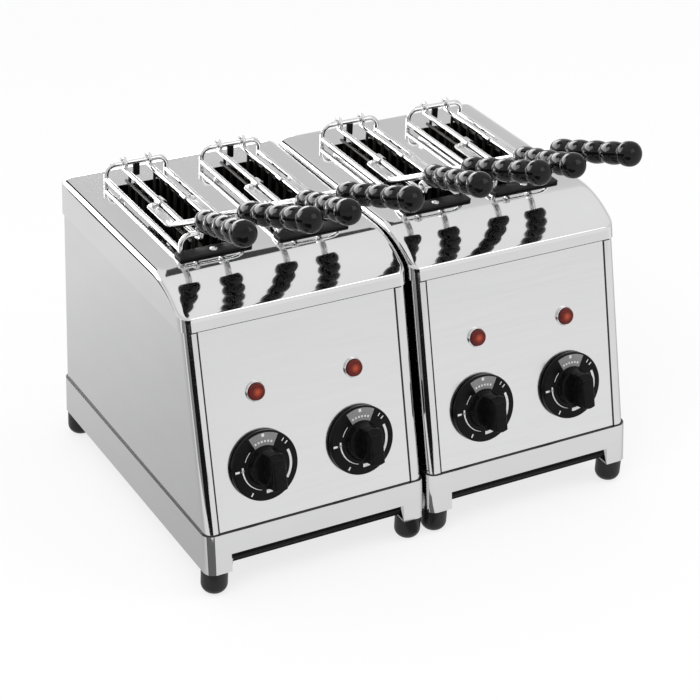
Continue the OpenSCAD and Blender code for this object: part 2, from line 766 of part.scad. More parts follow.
// One jaw, drawn for the right side: rod with its loops, welded grid under it, foot with the bread rests
module jaw_shape() {
    x = jaw_gap / 2;
    grid_top = rod_h - rod_d / 2 - weld_gap;
    grid_low = grid_d / 2 + weld_gap - jaw_depth;
    row_0 = grid_top - 1.5 * grid_d;
    row_step = (row_0 + jaw_depth - grid_d) / grid_rows;
    row_x = x + grid_d - weld_sink;
    level_l = slot_l - 2 * grid_end + 2 * grid_d;
    translate([x, guide_front_y, rod_h]) rotate([-90, 0, 0])
        cylinder(d = rod_d, h = guide_back_y - guide_front_y);
    for (y = [guide_front_y, guide_back_y]) translate([x, y, guide_h]) sliding_loop();
    for (i = [0:grid_columns - 1]) translate([x, column_0 + i * column_step, grid_low])
        cylinder(d = grid_d, h = grid_top - grid_low);
    for (i = [0:grid_rows - 1]) translate([row_x, column_0 - grid_d, row_0 - i * row_step]) rotate([-90, 0, 0])
        cylinder(d = grid_d, h = level_l);
    translate([x, column_0 - grid_d, -jaw_depth]) rotate([-90, 0, 0]) cylinder(d = grid_d, h = level_l);
    for (i = [0:grid_columns - 1]) translate([x, column_0 + i * column_step, -jaw_depth]) rotate([0, -90, 0])
        cylinder(d = grid_d * 0.96, h = rest_reach);
}

// Unit vector along a grip on the right side, from its inner end outwards
grip_dir = [
    sin(grip_splay) * cos(grip_rise),
    -cos(grip_splay) * cos(grip_rise),
    sin(grip_rise),
];

// Frame of a grip on the right side: z runs along it from its inner end
module on_grip() {
    translate([grip_half, grip_y, grip_base_h])
        rotate([0, 0, grip_splay]) rotate([90 - grip_rise, 0, 0]) children();
}

// Flat arm clipped to the rod, bent up into the shank and the tang of the grip
module arm_shape() {
    rise = grip_base_h - strip_h;
    run = grip_y - shank_y;
    shift = grip_half - shank_x;
    shank_l = norm([shift, run, rise]);
    strip_l = clip_y - shank_y + shank_d / 4;
    turn = atan2(shift, -run);
    pitch = acos(rise / shank_l);
    clip_r = rod_d / 2 + clip_wall;
    difference() {
        union() {
            translate([jaw_gap / 2, clip_y - clip_l / 2, rod_h]) rotate([-90, 0, 0]) cylinder(r = clip_r, h = clip_l);
            translate([jaw_gap / 2, clip_y, strip_h + 0.8 * clip_wall]) rotate([0, 90, 0])
                cylinder(r = clip_wall, h = strip_x + strip_half / 4 - jaw_gap / 2);
            translate([strip_x, clip_y, strip_h]) rotate([0, strip_tilt, 0]) {
                translate([-strip_w / 2, -strip_l, -strip_t / 2]) cube([strip_w, strip_l, strip_t]);
                cylinder(d = strip_w, h = strip_t, center = true);
            }
        }
        translate([jaw_gap / 2, clip_y - clip_l, rod_h]) rotate([-90, 0, 0])
            cylinder(d = rod_d + 2 * rod_clear, h = 2 * clip_l);
    }
    translate([shank_x, shank_y, strip_h]) {
        rotate([0, 90, 0]) cylinder(d = shank_d * 1.06, h = shank_d * 1.06, center = true);
        rotate([0, 0, turn]) rotate([pitch, 0, 0]) cylinder(d = shank_d, h = shank_l);
    }
    on_grip() {
        sphere(d = shank_d * 1.06);
        cylinder(d = shank_d, h = tang_l);
    }
}

// Turned grip: beads with narrow waists and a round end knob, bored for the tang
module grip_shape() {
    bead_l = (grip_l - grip_end_d * 0.4 - grip_start) / grip_beads;
    swell = (grip_d - waist_d) / 2;
    bead_r = (pow(bead_l / 2, 2) + pow(swell, 2)) / (2 * swell);
    on_grip() difference() {
        rotate_extrude() intersection() {
            union() {
                translate([0, grip_start]) square([waist_d / 2, grip_l - grip_start]);
                for (i = [0:grip_beads - 1]) intersection() {
                    translate([grip_d / 2 - bead_r, grip_start + (i + 0.5) * bead_l]) circle(bead_r, $fn = 128);
                    translate([0, grip_start + i * bead_l]) square([grip_d, bead_l]);
                }
                translate([0, grip_l]) circle(d = grip_end_d);
            }
            translate([0, grip_start]) square([grip_d + grip_end_d, grip_l + grip_end_d]);
        }
        cylinder(d = shank_d + 2 * tang_clear, h = tang_l + slip);
    }
}

// The left half of a tong mirrors the right half
module tong_half(n, side) {
    at_slot(n) mirror([side < 0 ? 1 : 0, 0, 0]) children();
}

module jaw(n, side) {
    color("lightsteelblue") tong_half(n, side) jaw_shape();
}

module arm(n, side) {
    color("lightgray") tong_half(n, side) arm_shape();
}

module grip(n, side) {
    color("black") tong_half(n, side) grip_shape();
}

plinth(-1);  // plinth_left
plinth(1);  // plinth_right
floor_plate(-1);  // floor_left
floor_plate(1);  // floor_right
casing(-1);  // casing_left
casing(1);  // casing_right
front_panel(-1);  // front_panel_left
front_panel(1);  // front_panel_right
back_panel(-1);  // back_panel_left
back_panel(1);  // back_panel_right
hood(-1);  // hood_left
hood(1);  // hood_right
oven(-1);  // oven_left
oven(1);  // oven_right
crumb_tray(-1);  // crumb_tray_left
crumb_tray(1);  // crumb_tray_right
rubber_feet();
heating_tubes();
pilot_bodies();
pilot_lenses();
timers();
cable_glands();
panel_screws();
tie_bolts();
for (n = [1:4]) {
    knob(n);
    timer_shaft(n);
    tong_frame(n);
    jaw(n, -1);
    arm(n, -1);
    grip(n, -1);
    jaw(n, 1);
    arm(n, 1);
    grip(n, 1);
}
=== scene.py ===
import math
import bmesh
import bpy
import numpy as np
from mathutils import Matrix, Vector


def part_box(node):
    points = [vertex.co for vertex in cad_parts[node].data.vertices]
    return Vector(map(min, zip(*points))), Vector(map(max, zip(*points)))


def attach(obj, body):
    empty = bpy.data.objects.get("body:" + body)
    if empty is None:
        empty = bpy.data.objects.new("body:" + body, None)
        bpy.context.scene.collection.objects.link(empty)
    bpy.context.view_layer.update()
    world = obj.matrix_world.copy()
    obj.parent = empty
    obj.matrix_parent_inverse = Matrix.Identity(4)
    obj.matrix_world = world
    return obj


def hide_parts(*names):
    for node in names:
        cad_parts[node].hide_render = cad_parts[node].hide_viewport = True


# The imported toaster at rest, and the level of its plinth's front
# Its pieces are drawn in millimetres: x across, y back from that front, z up from the worktop
# The camera, the floor and the light are set in metres
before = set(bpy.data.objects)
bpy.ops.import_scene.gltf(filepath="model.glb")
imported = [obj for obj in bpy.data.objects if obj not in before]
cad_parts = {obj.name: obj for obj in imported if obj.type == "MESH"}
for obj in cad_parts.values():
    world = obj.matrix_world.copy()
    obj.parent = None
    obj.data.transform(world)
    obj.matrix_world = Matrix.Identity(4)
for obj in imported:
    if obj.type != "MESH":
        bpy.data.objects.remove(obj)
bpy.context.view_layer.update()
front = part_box("plinth_left")[0].y

# Camera
# A long lens in front of the toaster, to the left and above, turned a few degrees about its axis
azimuth = math.radians(-31.11)
elevation = math.radians(29.51)
roll = math.radians(3.08)
lens_spot = (-0.7685, front - 1.1428, 0.9425)
lens_back = Vector((
    math.sin(azimuth) * math.cos(elevation), -math.cos(azimuth) * math.cos(elevation), math.sin(elevation),
))
level_right = Vector((math.cos(azimuth), math.sin(azimuth), 0))
level_up = lens_back.cross(level_right)
lens_right = level_right * math.cos(roll) + level_up * math.sin(roll)
lens_up = level_up * math.cos(roll) - level_right * math.sin(roll)
lens_axes = Matrix((lens_right, lens_up, lens_back)).transposed()
camera = bpy.data.objects.new("camera", bpy.data.cameras.new("camera"))
camera.data.lens = 109.55
camera.data.sensor_width = 36
camera.data.clip_end = 50
camera.matrix_world = Matrix.Translation(lens_spot) @ lens_axes.to_4x4()
bpy.context.scene.collection.objects.link(camera)
bpy.context.scene.camera = camera

# Floor
# A wide pale worktop of matt board: nearly plain white to the camera, with the toaster's soft shadow
# The metal mirrors it as a grey with a painted shadow beside the toaster, growing pale again behind it
floor_half = 6.0
floor_glow_share = 0.75
tone_start, tone_end = front - 0.25, front + 0.55
# The dip to a darker grey beside the toaster is a painted shadow
floor_greys = [(0.0, 0.95), (0.25, 0.9), (0.36, 0.55), (0.6, 0.64), (1.0, 0.86)]


def stage_plane(name, corners):
    """Flat sheet of the set between its corners, with the nodes and links of its own material."""
    mesh = bpy.data.meshes.new(name)
    mesh.from_pydata(corners, [], [list(range(len(corners)))])
    plane = bpy.data.objects.new(name, mesh)
    bpy.context.scene.collection.objects.link(plane)
    material = bpy.data.materials.new(name)
    material.use_nodes = True
    mesh.materials.append(material)
    return plane, material.node_tree.nodes, material.node_tree.links


def grey_steps(ramp, steps):
    """Set a colour ramp to the listed places and greys."""
    for place, grey in steps[1:-1]:
        ramp.elements.new(place)
    for element, (place, grey) in zip(ramp.elements, steps):
        element.position = place
        element.color = (grey, grey, grey, 1)


floor_corners = [(x * floor_half, y * floor_half, 0) for x, y in ((-1, -1), (1, -1), (1, 1), (-1, 1))]
floor_nodes, floor_links = stage_plane("floor", floor_corners)[1:]
floor_board = floor_nodes["Principled BSDF"]
floor_board.inputs["Base Color"].default_value = (0.9, 0.9, 0.9, 1)
floor_board.inputs["Roughness"].default_value = 0.9
floor_board.inputs["Specular IOR Level"].default_value = 0.0
floor_rays = floor_nodes.new("ShaderNodeLightPath")
floor_glow = floor_nodes.new("ShaderNodeEmission")
floor_share = floor_nodes.new("ShaderNodeMapRange")
floor_share.inputs["To Max"].default_value = floor_glow_share
floor_seen = floor_nodes.new("ShaderNodeMixShader")
floor_links.new(floor_rays.outputs["Is Camera Ray"], floor_share.inputs["Value"])
floor_links.new(floor_share.outputs["Result"], floor_seen.inputs["Fac"])
floor_links.new(floor_board.outputs["BSDF"], floor_seen.inputs[1])
floor_links.new(floor_glow.outputs["Emission"], floor_seen.inputs[2])
floor_coords = floor_nodes.new("ShaderNodeTexCoord")
floor_split = floor_nodes.new("ShaderNodeSeparateXYZ")
floor_way = floor_nodes.new("ShaderNodeMapRange")
floor_way.inputs["From Min"].default_value = tone_start
floor_way.inputs["From Max"].default_value = tone_end
floor_tone = floor_nodes.new("ShaderNodeValToRGB")
grey_steps(floor_tone.color_ramp, floor_greys)
floor_mirror = floor_nodes.new("ShaderNodeEmission")
floor_last = floor_nodes.new("ShaderNodeMixShader")
floor_links.new(floor_coords.outputs["Object"], floor_split.inputs[0])
floor_links.new(floor_split.outputs["Y"], floor_way.inputs["Value"])
floor_links.new(floor_way.outputs["Result"], floor_tone.inputs["Fac"])
floor_links.new(floor_tone.outputs["Color"], floor_mirror.inputs["Color"])
floor_links.new(floor_rays.outputs["Is Glossy Ray"], floor_last.inputs["Fac"])
floor_links.new(floor_seen.outputs["Shader"], floor_last.inputs[1])
floor_links.new(floor_mirror.outputs["Emission"], floor_last.inputs[2])
floor_links.new(floor_last.outputs["Shader"], floor_nodes["Material Output"].inputs["Surface"])

# Studio light
# A soft white room with two large lamps: plain white to the camera, and for the metal a grey wall
# under a bright ceiling
room_low = -0.2
room_greys = [(0.0, 0.88), (0.3, 0.86), (0.5, 0.7), (0.66, 0.76), (0.7, 0.92), (1.0, 0.98)]
lamp_aim = Vector((0, 0, 0.12))
lamps = [("lamp_left", (-1.3, -0.7, 1.7), 1.2, 14.0), ("lamp_right", (1.5, -0.9, 1.5), 1.0, 7.0)]
world = bpy.data.worlds.new("studio")
bpy.context.scene.world = world
world.use_nodes = True
world_nodes = world.node_tree.nodes
world_links = world.node_tree.links
world_way = world_nodes.new("ShaderNodeTexCoord")
world_split = world_nodes.new("ShaderNodeSeparateXYZ")
world_level = world_nodes.new("ShaderNodeMapRange")
world_level.inputs["From Min"].default_value = room_low
world_ramp = world_nodes.new("ShaderNodeValToRGB")
grey_steps(world_ramp.color_ramp, room_greys)
world_room = world_nodes["Background"]
world_white = world_nodes.new("ShaderNodeBackground")
world_white.inputs["Color"].default_value = (1, 1, 1, 1)
world_rays = world_nodes.new("ShaderNodeLightPath")
world_mix = world_nodes.new("ShaderNodeMixShader")
world_links.new(world_way.outputs["Generated"], world_split.inputs[0])
world_links.new(world_split.outputs["Z"], world_level.inputs["Value"])
world_links.new(world_level.outputs["Result"], world_ramp.inputs["Fac"])
world_links.new(world_ramp.outputs["Color"], world_room.inputs["Color"])
world_links.new(world_rays.outputs["Is Camera Ray"], world_mix.inputs["Fac"])
world_links.new(world_room.outputs["Background"], world_mix.inputs[1])
world_links.new(world_white.outputs["Background"], world_mix.inputs[2])
world_links.new(world_mix.outputs["Shader"], world_nodes["World Output"].inputs["Surface"])
bpy.context.scene.view_settings.view_transform = "Standard"
for name, spot, size, power in lamps:
    lamp = bpy.data.objects.new(name, bpy.data.lights.new(name, "AREA"))
    lamp.data.size = size
    lamp.data.energy = power
    lamp.location = spot
    lamp.rotation_euler = (lamp_aim - Vector(spot)).to_track_quat("-Z", "Y").to_euler()
    lamp.visible_glossy = False
    bpy.context.scene.collection.objects.link(lamp)

# Studio cards
# Plain cards that only mirrored rays see: dark and grey ones stand for the worktop and the room in front,
# the grey ones close round the toaster's foot for its painted shadow on the worktop, bright ones for a screen
# in front and windows behind
left_corner_x, right_module_x = -0.19, 0.0015


def standing(y, low, high):
    """Corners of an upright card at y, from its lower left to its upper right corner (x, z)."""
    return [(low[0], y, low[1]), (high[0], y, low[1]), (high[0], y, high[1]), (low[0], y, high[1])]


def lying(level, x, points):
    """Corners of a card on the worktop, each an azimuth in degrees and a reach from the front at x."""
    turns = [math.radians(turn) for turn, reach in points]
    return [(x + p[1] * math.cos(t), front + p[1] * math.sin(t), level) for p, t in zip(points, turns)]


cards = [
    ("dark_room", standing(-2.1, (-2.0, 0.0), (0.36, 0.26)), 0.01),
    # Painted shadow of the toaster on the worktop, close round its foot
    ("worktop_painted_shadow", lying(0.004, left_corner_x, [
        (196, 0.02), (287, 0.02), (287, 0.16), (228, 0.16), (196, 0.16)]), 0.15),
    ("grey_side", lying(0.004, left_corner_x, [(196, 0.4), (228, 0.4), (228, 3.0), (196, 3.0)]), 0.28),
    ("middle_painted_shadow", lying(0.004, right_module_x, [
        (196, 0.085), (228, 0.085), (250, 0.06), (287, 0.045), (0, 0.0)]), 0.15),
    ("dark_worktop", lying(0.006, left_corner_x, [(228, 0.42), (284, 0.42), (284, 2.0), (228, 2.6)]), 0.01),
    ("dark_middle", lying(0.008, 0.0, [(228, 1.0), (280, 1.0), (280, 2.0), (228, 2.6)]), 0.01),
    ("dark_corner", [(-0.8, 0.42, 0.004), (-0.5, 0.62, 0.004), (-1.9, 2.9, 0.004), (-3.0, 2.6, 0.004)], 0.06),
    ("bright_screen", standing(-1.6, (0.5, 0.85), (1.45, 1.75)), 2.2),
    ("bright_sky", standing(1.5, (-1.7, 0.26), (0.7, 0.84)), 6.0),
    ("bright_wall", standing(1.55, (-1.9, 0.8), (-0.62, 1.5)), 4.5),
    ("dark_post", standing(1.56, (-0.62, 0.95), (-0.15, 1.7)), 0.05),
    ("dark_beam", [(0.62, 1.4, 1.38), (1.2, 1.4, 1.62), (1.2, 1.4, 1.76), (0.62, 1.4, 2.35)], 0.06),
]
for name, corners, brightness in cards:
    card, card_nodes, card_links = stage_plane(name, corners)
    card_glow = card_nodes.new("ShaderNodeEmission")
    card_glow.inputs["Color"].default_value = (1, 1, 1, 1)
    card_glow.inputs["Strength"].default_value = brightness
    card_links.new(card_glow.outputs["Emission"], card_nodes["Material Output"].inputs["Surface"])
    card.visible_camera = False
    card.visible_diffuse = False
    card.visible_shadow = False
    card.visible_transmission = False

# Rubber feet
# Eight turned feet of black rubber with a rounded tread, pushed into the plinths from below
foot_h, foot_r, foot_round, foot_edge = 20.5, 10.25, 7.5, 0.5
foot_inset = 10.5
module_w, module_x, depth = 188.5, 95.75, 270.0
mm = 0.001
weld_reach, sharp_turn = 2e-6, math.radians(38)


def quarter_turn(count):
    """Angles in even steps from zero to a right angle."""
    return np.linspace(0, np.pi / 2, count)


def ring_faces(rows, columns, closed=True):
    """Quads of a grid of rows by columns; a closed grid joins its last column to its first."""
    row = np.arange(rows - 1)[:, None] * columns
    column = np.arange(columns if closed else columns - 1)[None, :]
    after = (column + 1) % columns
    quads = np.stack([row + column, row + after, row + columns + after, row + columns + column], -1)
    return quads.reshape(-1, 4).tolist()


def capped_faces(rows, columns):
    """Quads of a closed grid, with one flat face across its first row and one across its last."""
    last = (rows - 1) * columns
    return ring_faces(rows, columns) + [list(range(columns))[::-1], list(range(last, last + columns))]


def lathe(radius, height, sides=48):
    """Surface of revolution about z: (r cos a, r sin a, h) over a full turn, both ends closed with a disc."""
    radius = np.asarray(radius, float)[:, None]
    height = np.asarray(height, float)[:, None]
    turn = np.arange(sides) * 2 * np.pi / sides
    rings = [radius * np.cos(turn), radius * np.sin(turn), np.broadcast_to(height, (len(radius), sides))]
    return np.stack(rings, -1).reshape(-1, 3), capped_faces(len(radius), sides)


def moved(part, shift, turn=None):
    """The part turned by a 3 x 3 matrix and then shifted."""
    points, faces = part
    if turn is not None:
        points = points @ np.asarray(turn, float).T
    return points + np.asarray(shift, float), faces


def add_piece(name, parts, material, body, nodes, thickness=0.0):
    """One object of several parts in millimetres, welded and smooth; thickness makes it a sheet, inwards.

    The free edges of a sheet are sharp."""
    points = np.vstack([part[0] for part in parts])
    starts = np.cumsum([0] + [len(part[0]) for part in parts[:-1]])
    faces = [[i + start for i in face] for start, part in zip(starts.tolist(), parts) for face in part[1]]
    mesh = bpy.data.meshes.new(name)
    mesh.from_pydata((points * mm + [0, front, 0]).tolist(), [], faces)
    edit = bmesh.new()
    edit.from_mesh(mesh)
    bmesh.ops.remove_doubles(edit, verts=edit.verts, dist=weld_reach)
    edit.to_mesh(mesh)
    edit.free()
    mesh.shade_smooth()
    mesh.set_sharp_from_angle(angle=sharp_turn)
    if thickness:
        sharp = mesh.attributes.get("sharp_edge") or mesh.attributes.new("sharp_edge", "BOOLEAN", "EDGE")
        marks = np.zeros(len(mesh.edges), bool)
        sharp.data.foreach_get("value", marks)
        sides = np.zeros(len(mesh.loops), np.int32)
        mesh.loops.foreach_get("edge_index", sides)
        sharp.data.foreach_set("value", marks | (np.bincount(sides, minlength=len(marks)) == 1))
    mesh.materials.append(material)
    piece = bpy.data.objects.new(name, mesh)
    bpy.context.scene.collection.objects.link(piece)
    if thickness:
        thick = piece.modifiers.new("sheet", "SOLIDIFY")
        thick.thickness = thickness * mm
        thick.offset = -1
        thick.use_even_offset = True
    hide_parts(*nodes)
    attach(piece, body)
    return piece


def grained(name, dark, light, rough, stretch, bump, metallic=0.0, shine=0.5):
    """Material with a grain: noise stretched by a scale per axis moves its colour, roughness and a fine bump.

    dark, light and stretch are three numbers, or one number for a plain grey or an even grain."""
    noise_low, noise_high = 0.3, 0.7
    material = bpy.data.materials.new(name)
    material.use_nodes = True
    nodes, links = material.node_tree.nodes, material.node_tree.links
    shader = nodes["Principled BSDF"]
    shader.inputs["Metallic"].default_value = metallic
    shader.inputs["Specular IOR Level"].default_value = shine
    coords = nodes.new("ShaderNodeTexCoord")
    scale = nodes.new("ShaderNodeMapping")
    scale.inputs["Scale"].default_value = np.broadcast_to(stretch, 3).tolist()
    noise = nodes.new("ShaderNodeTexNoise")
    noise.inputs["Scale"].default_value = 1.0
    noise.inputs["Detail"].default_value = 5.0
    tone = nodes.new("ShaderNodeValToRGB")
    for element, place, colour in zip(tone.color_ramp.elements, (noise_low, noise_high), (dark, light)):
        element.position = place
        element.color = (*np.broadcast_to(colour, 3).tolist(), 1)
    sheen = nodes.new("ShaderNodeMapRange")
    sheen.inputs["From Min"].default_value = noise_low
    sheen.inputs["From Max"].default_value = noise_high
    sheen.inputs["To Min"].default_value = rough[0]
    sheen.inputs["To Max"].default_value = rough[1]
    relief = nodes.new("ShaderNodeBump")
    relief.inputs["Strength"].default_value = bump
    relief.inputs["Distance"].default_value = 0.0005
    links.new(coords.outputs["Object"], scale.inputs["Vector"])
    links.new(scale.outputs["Vector"], noise.inputs["Vector"])
    links.new(noise.outputs["Fac"], tone.inputs["Fac"])
    links.new(noise.outputs["Fac"], sheen.inputs["Value"])
    links.new(noise.outputs["Fac"], relief.inputs["Height"])
    links.new(tone.outputs["Color"], shader.inputs["Base Color"])
    links.new(sheen.outputs["Result"], shader.inputs["Roughness"])
    links.new(relief.outputs["Normal"], shader.inputs["Normal"])
    return material


tread = quarter_turn(13)
foot = lathe(
    np.concatenate([
        [foot_edge], foot_r - foot_round + foot_round * np.sin(tread), [foot_r, foot_r - foot_edge],
    ]),
    np.concatenate([[0.0], foot_round * (1 - np.cos(tread)), [foot_h - foot_edge, foot_h]]),
)
foot_places = [
    [side * module_x + sx * (module_w / 2 - foot_inset), depth / 2 + sy * (depth / 2 - foot_inset), 0]
    for side in (-1, 1) for sx in (-1, 1) for sy in (-1, 1)
]
# The same black serves the rubber feet and the strips of painted shade at the casings' and panels' seams
rubber_and_seam_shade = grained("black_rubber", 0.005, 0.012, (0.3, 0.42), 900, 0.1, shine=0.35)
feet = [moved(foot, place) for place in foot_places]
add_piece("feet", feet, rubber_and_seam_shade, "cabinet", ["rubber_feet"])

# Plinths
# A folded band of polished sheet round each module; its front leans back and has the crumb tray's mouth
# Its upper edge turns inwards as a ledge, and the casing stands on that
sheet_t = 1.2
plinth_low, plinth_h, plinth_run = foot_h, 31.0, 5.0
plinth_top = plinth_low + plinth_h
corner_r = 8.0
ledge_w = 16.0
mouth_half, mouth_top = 74.0, plinth_low + 14.0


def round_loop(half, y0, y1, radius, front_x=(), steps=12):
    """Outline of a rounded rectangle, anticlockwise from its front left corner, and its outward normals.

    Each corner is a quarter circle of that radius; front_x adds points to the front edge."""
    angles = [quarter_turn(steps + 1) + np.pi * k / 2 for k in (2, 3, 0, 1)]
    normals = [np.stack([np.cos(a), np.sin(a)], -1) for a in angles]
    x, back = half - radius, y1 - radius
    hubs = np.array([(-x, y0 + radius), (x, y0 + radius), (x, back), (-x, back)])
    corners = [hub + radius * n for hub, n in zip(hubs, normals)]
    extra = np.array([[x, y0] for x in front_x], float).reshape(-1, 2)
    return (
        np.vstack([corners[0], extra] + corners[1:]),
        np.vstack([normals[0], np.tile([0.0, -1.0], (len(extra), 1))] + normals[1:]),
    )


def carried(loop, normals, inset, height):
    """A profile carried along an outline: each row is the outline moved in by inset and set at that height.

    height may hold one value for a row or one value for each point of it."""
    rows = [
        np.column_stack([loop - step * normals, np.broadcast_to(level, len(loop))])
        for step, level in zip(inset, height)
    ]
    return np.vstack(rows), ring_faces(len(rows), len(loop))


def add_pair(name, parts, material, node=None, thickness=0.0):
    """The same fixed parts on the left and on the right module, drawn about the module's middle."""
    for side, word in ((-1, "_left"), (1, "_right")):
        add_piece(
            name + word, [moved(part, (side * module_x, 0, 0)) for part in parts], material,
            "cabinet", [node + word] if node else [], thickness,
        )


half = module_w / 2
loop, normals = round_loop(half, 0, depth, corner_r, np.repeat([-mouth_half, mouth_half], 2))
mouth = np.flatnonzero(np.abs(loop[:, 0]) == mouth_half)
lower = np.full(len(loop), plinth_low)
lower[mouth[1:3]] = mouth_top
band, band_faces = carried(loop, normals, [0, 0, ledge_w], [lower, plinth_top, plinth_top])
on_front = np.tile(loop[:, 1] < 2 * corner_r, 3)
band[:, 1] += on_front * (band[:, 2] - plinth_low) * plinth_run / plinth_h
ledge = band[-len(loop):]
ledge[:, 0] = np.clip(loop[:, 0], -half + ledge_w, half - ledge_w)
ledge[:, 1] = np.clip(loop[:, 1], ledge_w, depth - ledge_w)
polished = grained(
    "polished_steel", (0.7, 0.7, 0.705), 0.72, (0.055, 0.075), (20, 20, 60), 0.0004, metallic=1.0)
add_pair("plinth_band", [(band, band_faces)], polished, "plinth", sheet_t)

# Floor plates and crumb trays
# Plain folded sheet inside the plinth; the tray is steel painted near black as the shade in the mouth, and
# slides out through the mouth


def painted(names, material):
    """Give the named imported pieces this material."""
    for name in names:
        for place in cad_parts[name].material_slots:
            place.material = material


painted(["floor_left", "floor_right"], grained(
    "floor_steel", (0.42, 0.42, 0.43), 0.55, (0.3, 0.42), 60, 0.05, metallic=1.0))
# The tray's near black is painted shade inside the mouth
painted(["crumb_tray_left", "crumb_tray_right"], grained(
    "tray_black", 0.003, 0.007, (0.3, 0.42), (400, 40, 400), 0.05, shine=0.12))

# Casings
# One wrapped sheet for each module: sides, round upright corners, narrow flanges in front that lean back
# with the panel, and a rim behind that the back panel closes
lean = math.radians(15.5)
front_ledge = 7.0
casing_inset = 1.4
casing_top = plinth_top + 156.5
casing_rows = 5
flange_edge, flange_fold = 82.65, 8.0
back_edge = 78.85
back_low, back_high = plinth_top + 14.0, plinth_top + 135.5
case_half, case_back = half - casing_inset, depth - casing_inset
case_r = corner_r - casing_inset


def mirrored(part):
    """The part mirrored across x = 0, its faces turned round so that they still look outwards."""
    points, faces = part
    return points * [-1, 1, 1], [face[::-1] for face in faces]


def back_strip(z0, z1):
    """Flat upright strip across the casing's back between two heights, facing backwards."""
    corners = [(back_edge, z0), (-back_edge, z0), (-back_edge, z1), (back_edge, z1)]
    return np.array([[x, case_back, z] for x, z in corners]), [[0, 1, 2, 3]]


loop, normals = round_loop(case_half, 0, case_back, case_r)
loop[:, 1] = np.where(loop[:, 1] < 2 * corner_r, loop[:, 1] / math.cos(lean), loop[:, 1])
quarter = len(loop) // 4
left_half = np.vstack([
    [[-back_edge, case_back]], loop[3 * quarter:], loop[:quarter],
    [[-flange_edge, 0], [-flange_edge, flange_fold]],
])
leaning = left_half[:, 1] < 2 * corner_r
case_points = []
for z in np.linspace(plinth_top, casing_top, casing_rows):
    y = left_half[:, 1] + leaning * (front_ledge + (z - plinth_top) * math.tan(lean))
    case_points.append(np.column_stack([left_half[:, 0], y, np.full(len(y), z)]))
case_left = (np.vstack(case_points), ring_faces(casing_rows, len(left_half), False))
case_rims = [back_strip(plinth_top, back_low), back_strip(back_high, casing_top)]
case_parts = [case_left, mirrored(case_left)] + case_rims
add_pair("casing_sheet", case_parts, polished, "casing", sheet_t)

# Painted shade round the casings
# A thin dark strip along the foot of each casing, on the plinth's ledge: painted shade of the joint there
seam_shade_h, seam_shade_in, seam_shade_out = 0.3, 0.3, 1.35
loop, normals = round_loop(case_half, front_ledge, case_back, case_r)
seam_shade_height = plinth_top + np.array([0.0, 0.0, seam_shade_h, seam_shade_h])
casing_seam_shade = carried(loop, normals, [seam_shade_in, -seam_shade_out, -seam_shade_out, seam_shade_in], seam_shade_height)
add_pair("casing_seam_shade", [casing_seam_shade], rubber_and_seam_shade)

# Front and back panels
# Satin sheet: the front one leans between the casing's flanges, the back one carries cooling slots
painted(["front_panel_left", "front_panel_right"], grained(
    "panel_steel", (0.74, 0.74, 0.745), 0.77, (0.15, 0.19), (15, 300, 300), 0.001, metallic=1.0))
painted(["back_panel_left", "back_panel_right"], grained(
    "back_steel", (0.66, 0.66, 0.665), 0.74, (0.22, 0.32), (25, 700, 700), 0.03, metallic=1.0))

# Ovens and heating tubes
# Scorched sheet boxes under the slots, with milky quartz tubes on both sides of every tong
painted(["oven_left", "oven_right"], grained(
    "oven_steel", (0.015, 0.014, 0.013), (0.04, 0.038, 0.036), (0.45, 0.6), (90, 90, 50), 0.1, metallic=1.0))
painted(["heating_tubes"], grained(
    "quartz", (0.1, 0.097, 0.09), (0.16, 0.155, 0.145), (0.3, 0.4), (80, 20, 80), 0.05))

# Hoods
# A pressed lid of mirror-bright sheet that drops over the casing: a leaning band and a rolled front,
# a flat top with two slots, and rounded edges at the sides and behind
hood_low, hood_top = plinth_top + 149.5, plinth_top + 178.5
band_h, roll_r = 9.5, 78.0
side_edge, front_edge = 5.5, 0.8
slot_pitch, slot_half, slot_r = 82.0, 24.0, 3.0
slot_y0, slot_y1 = 112.0, 236.0
slot_mid = (slot_y0 + slot_y1) / 2
corner_rows, roll_rows, back_rows, edge_rows, band_rows = 13, 26, 9, 9, 4
row_ahead, row_before, row_behind = 2.5, 4.0, 14.0
settle_repeats = 6
band_y = front_ledge - casing_inset / math.cos(lean) + (hood_low - plinth_top) * math.tan(lean)
roll_start = band_y + band_h * math.tan(lean)
roll_y = roll_start + math.sqrt(roll_r ** 2 - (roll_r - (hood_top - hood_low - band_h)) ** 2)


def top_height(y):
    """Height of the hood's upper side: a circle of the roll's radius up to roll_y, then level."""
    return hood_top - roll_r + np.sqrt(roll_r ** 2 - np.clip(roll_y - y, 0, roll_r) ** 2)


# Outer plan of the right side, from the front corner to the back corner, and the width of its rounded edge
# The front corner's rim lies on the leaning band and under the roll, so a few repeats settle its place
corner = quarter_turn(corner_rows)
corner_edge = front_edge + (side_edge - front_edge) * np.sin(corner) ** 2
rim_y = np.full(corner_rows, roll_start)
for settle in range(settle_repeats):
    rim_z = top_height(rim_y + corner_edge * np.cos(corner)) - corner_edge
    rim_y = band_y + (rim_z - hood_low) * math.tan(lean) + corner_r * (1 - np.cos(corner)) / math.cos(lean)
side_y = np.concatenate([
    np.linspace(rim_y[-1] + row_ahead, roll_y, roll_rows),
    [slot_y0 - row_before, slot_y0, slot_y0 + slot_r, slot_mid],
    [slot_y1 - slot_r, slot_y1, slot_y1 + row_behind],
])
behind = quarter_turn(back_rows)
straight_on = np.ones(len(side_y))
way_x = np.concatenate([np.sin(corner), straight_on, np.cos(behind)])
way_y = np.concatenate([-np.cos(corner), 0 * straight_on, np.sin(behind)])
out_x = half - corner_r * (1 - way_x)
out_y = np.concatenate([rim_y, side_y, depth - corner_r * (1 - np.sin(behind))])
edge_w = np.concatenate([corner_edge, np.full(len(side_y) + back_rows, side_edge)])
leans = np.concatenate([np.ones(corner_rows), np.zeros(len(side_y) + back_rows)])
in_x = out_x - edge_w * way_x
in_y = out_y - edge_w * way_y

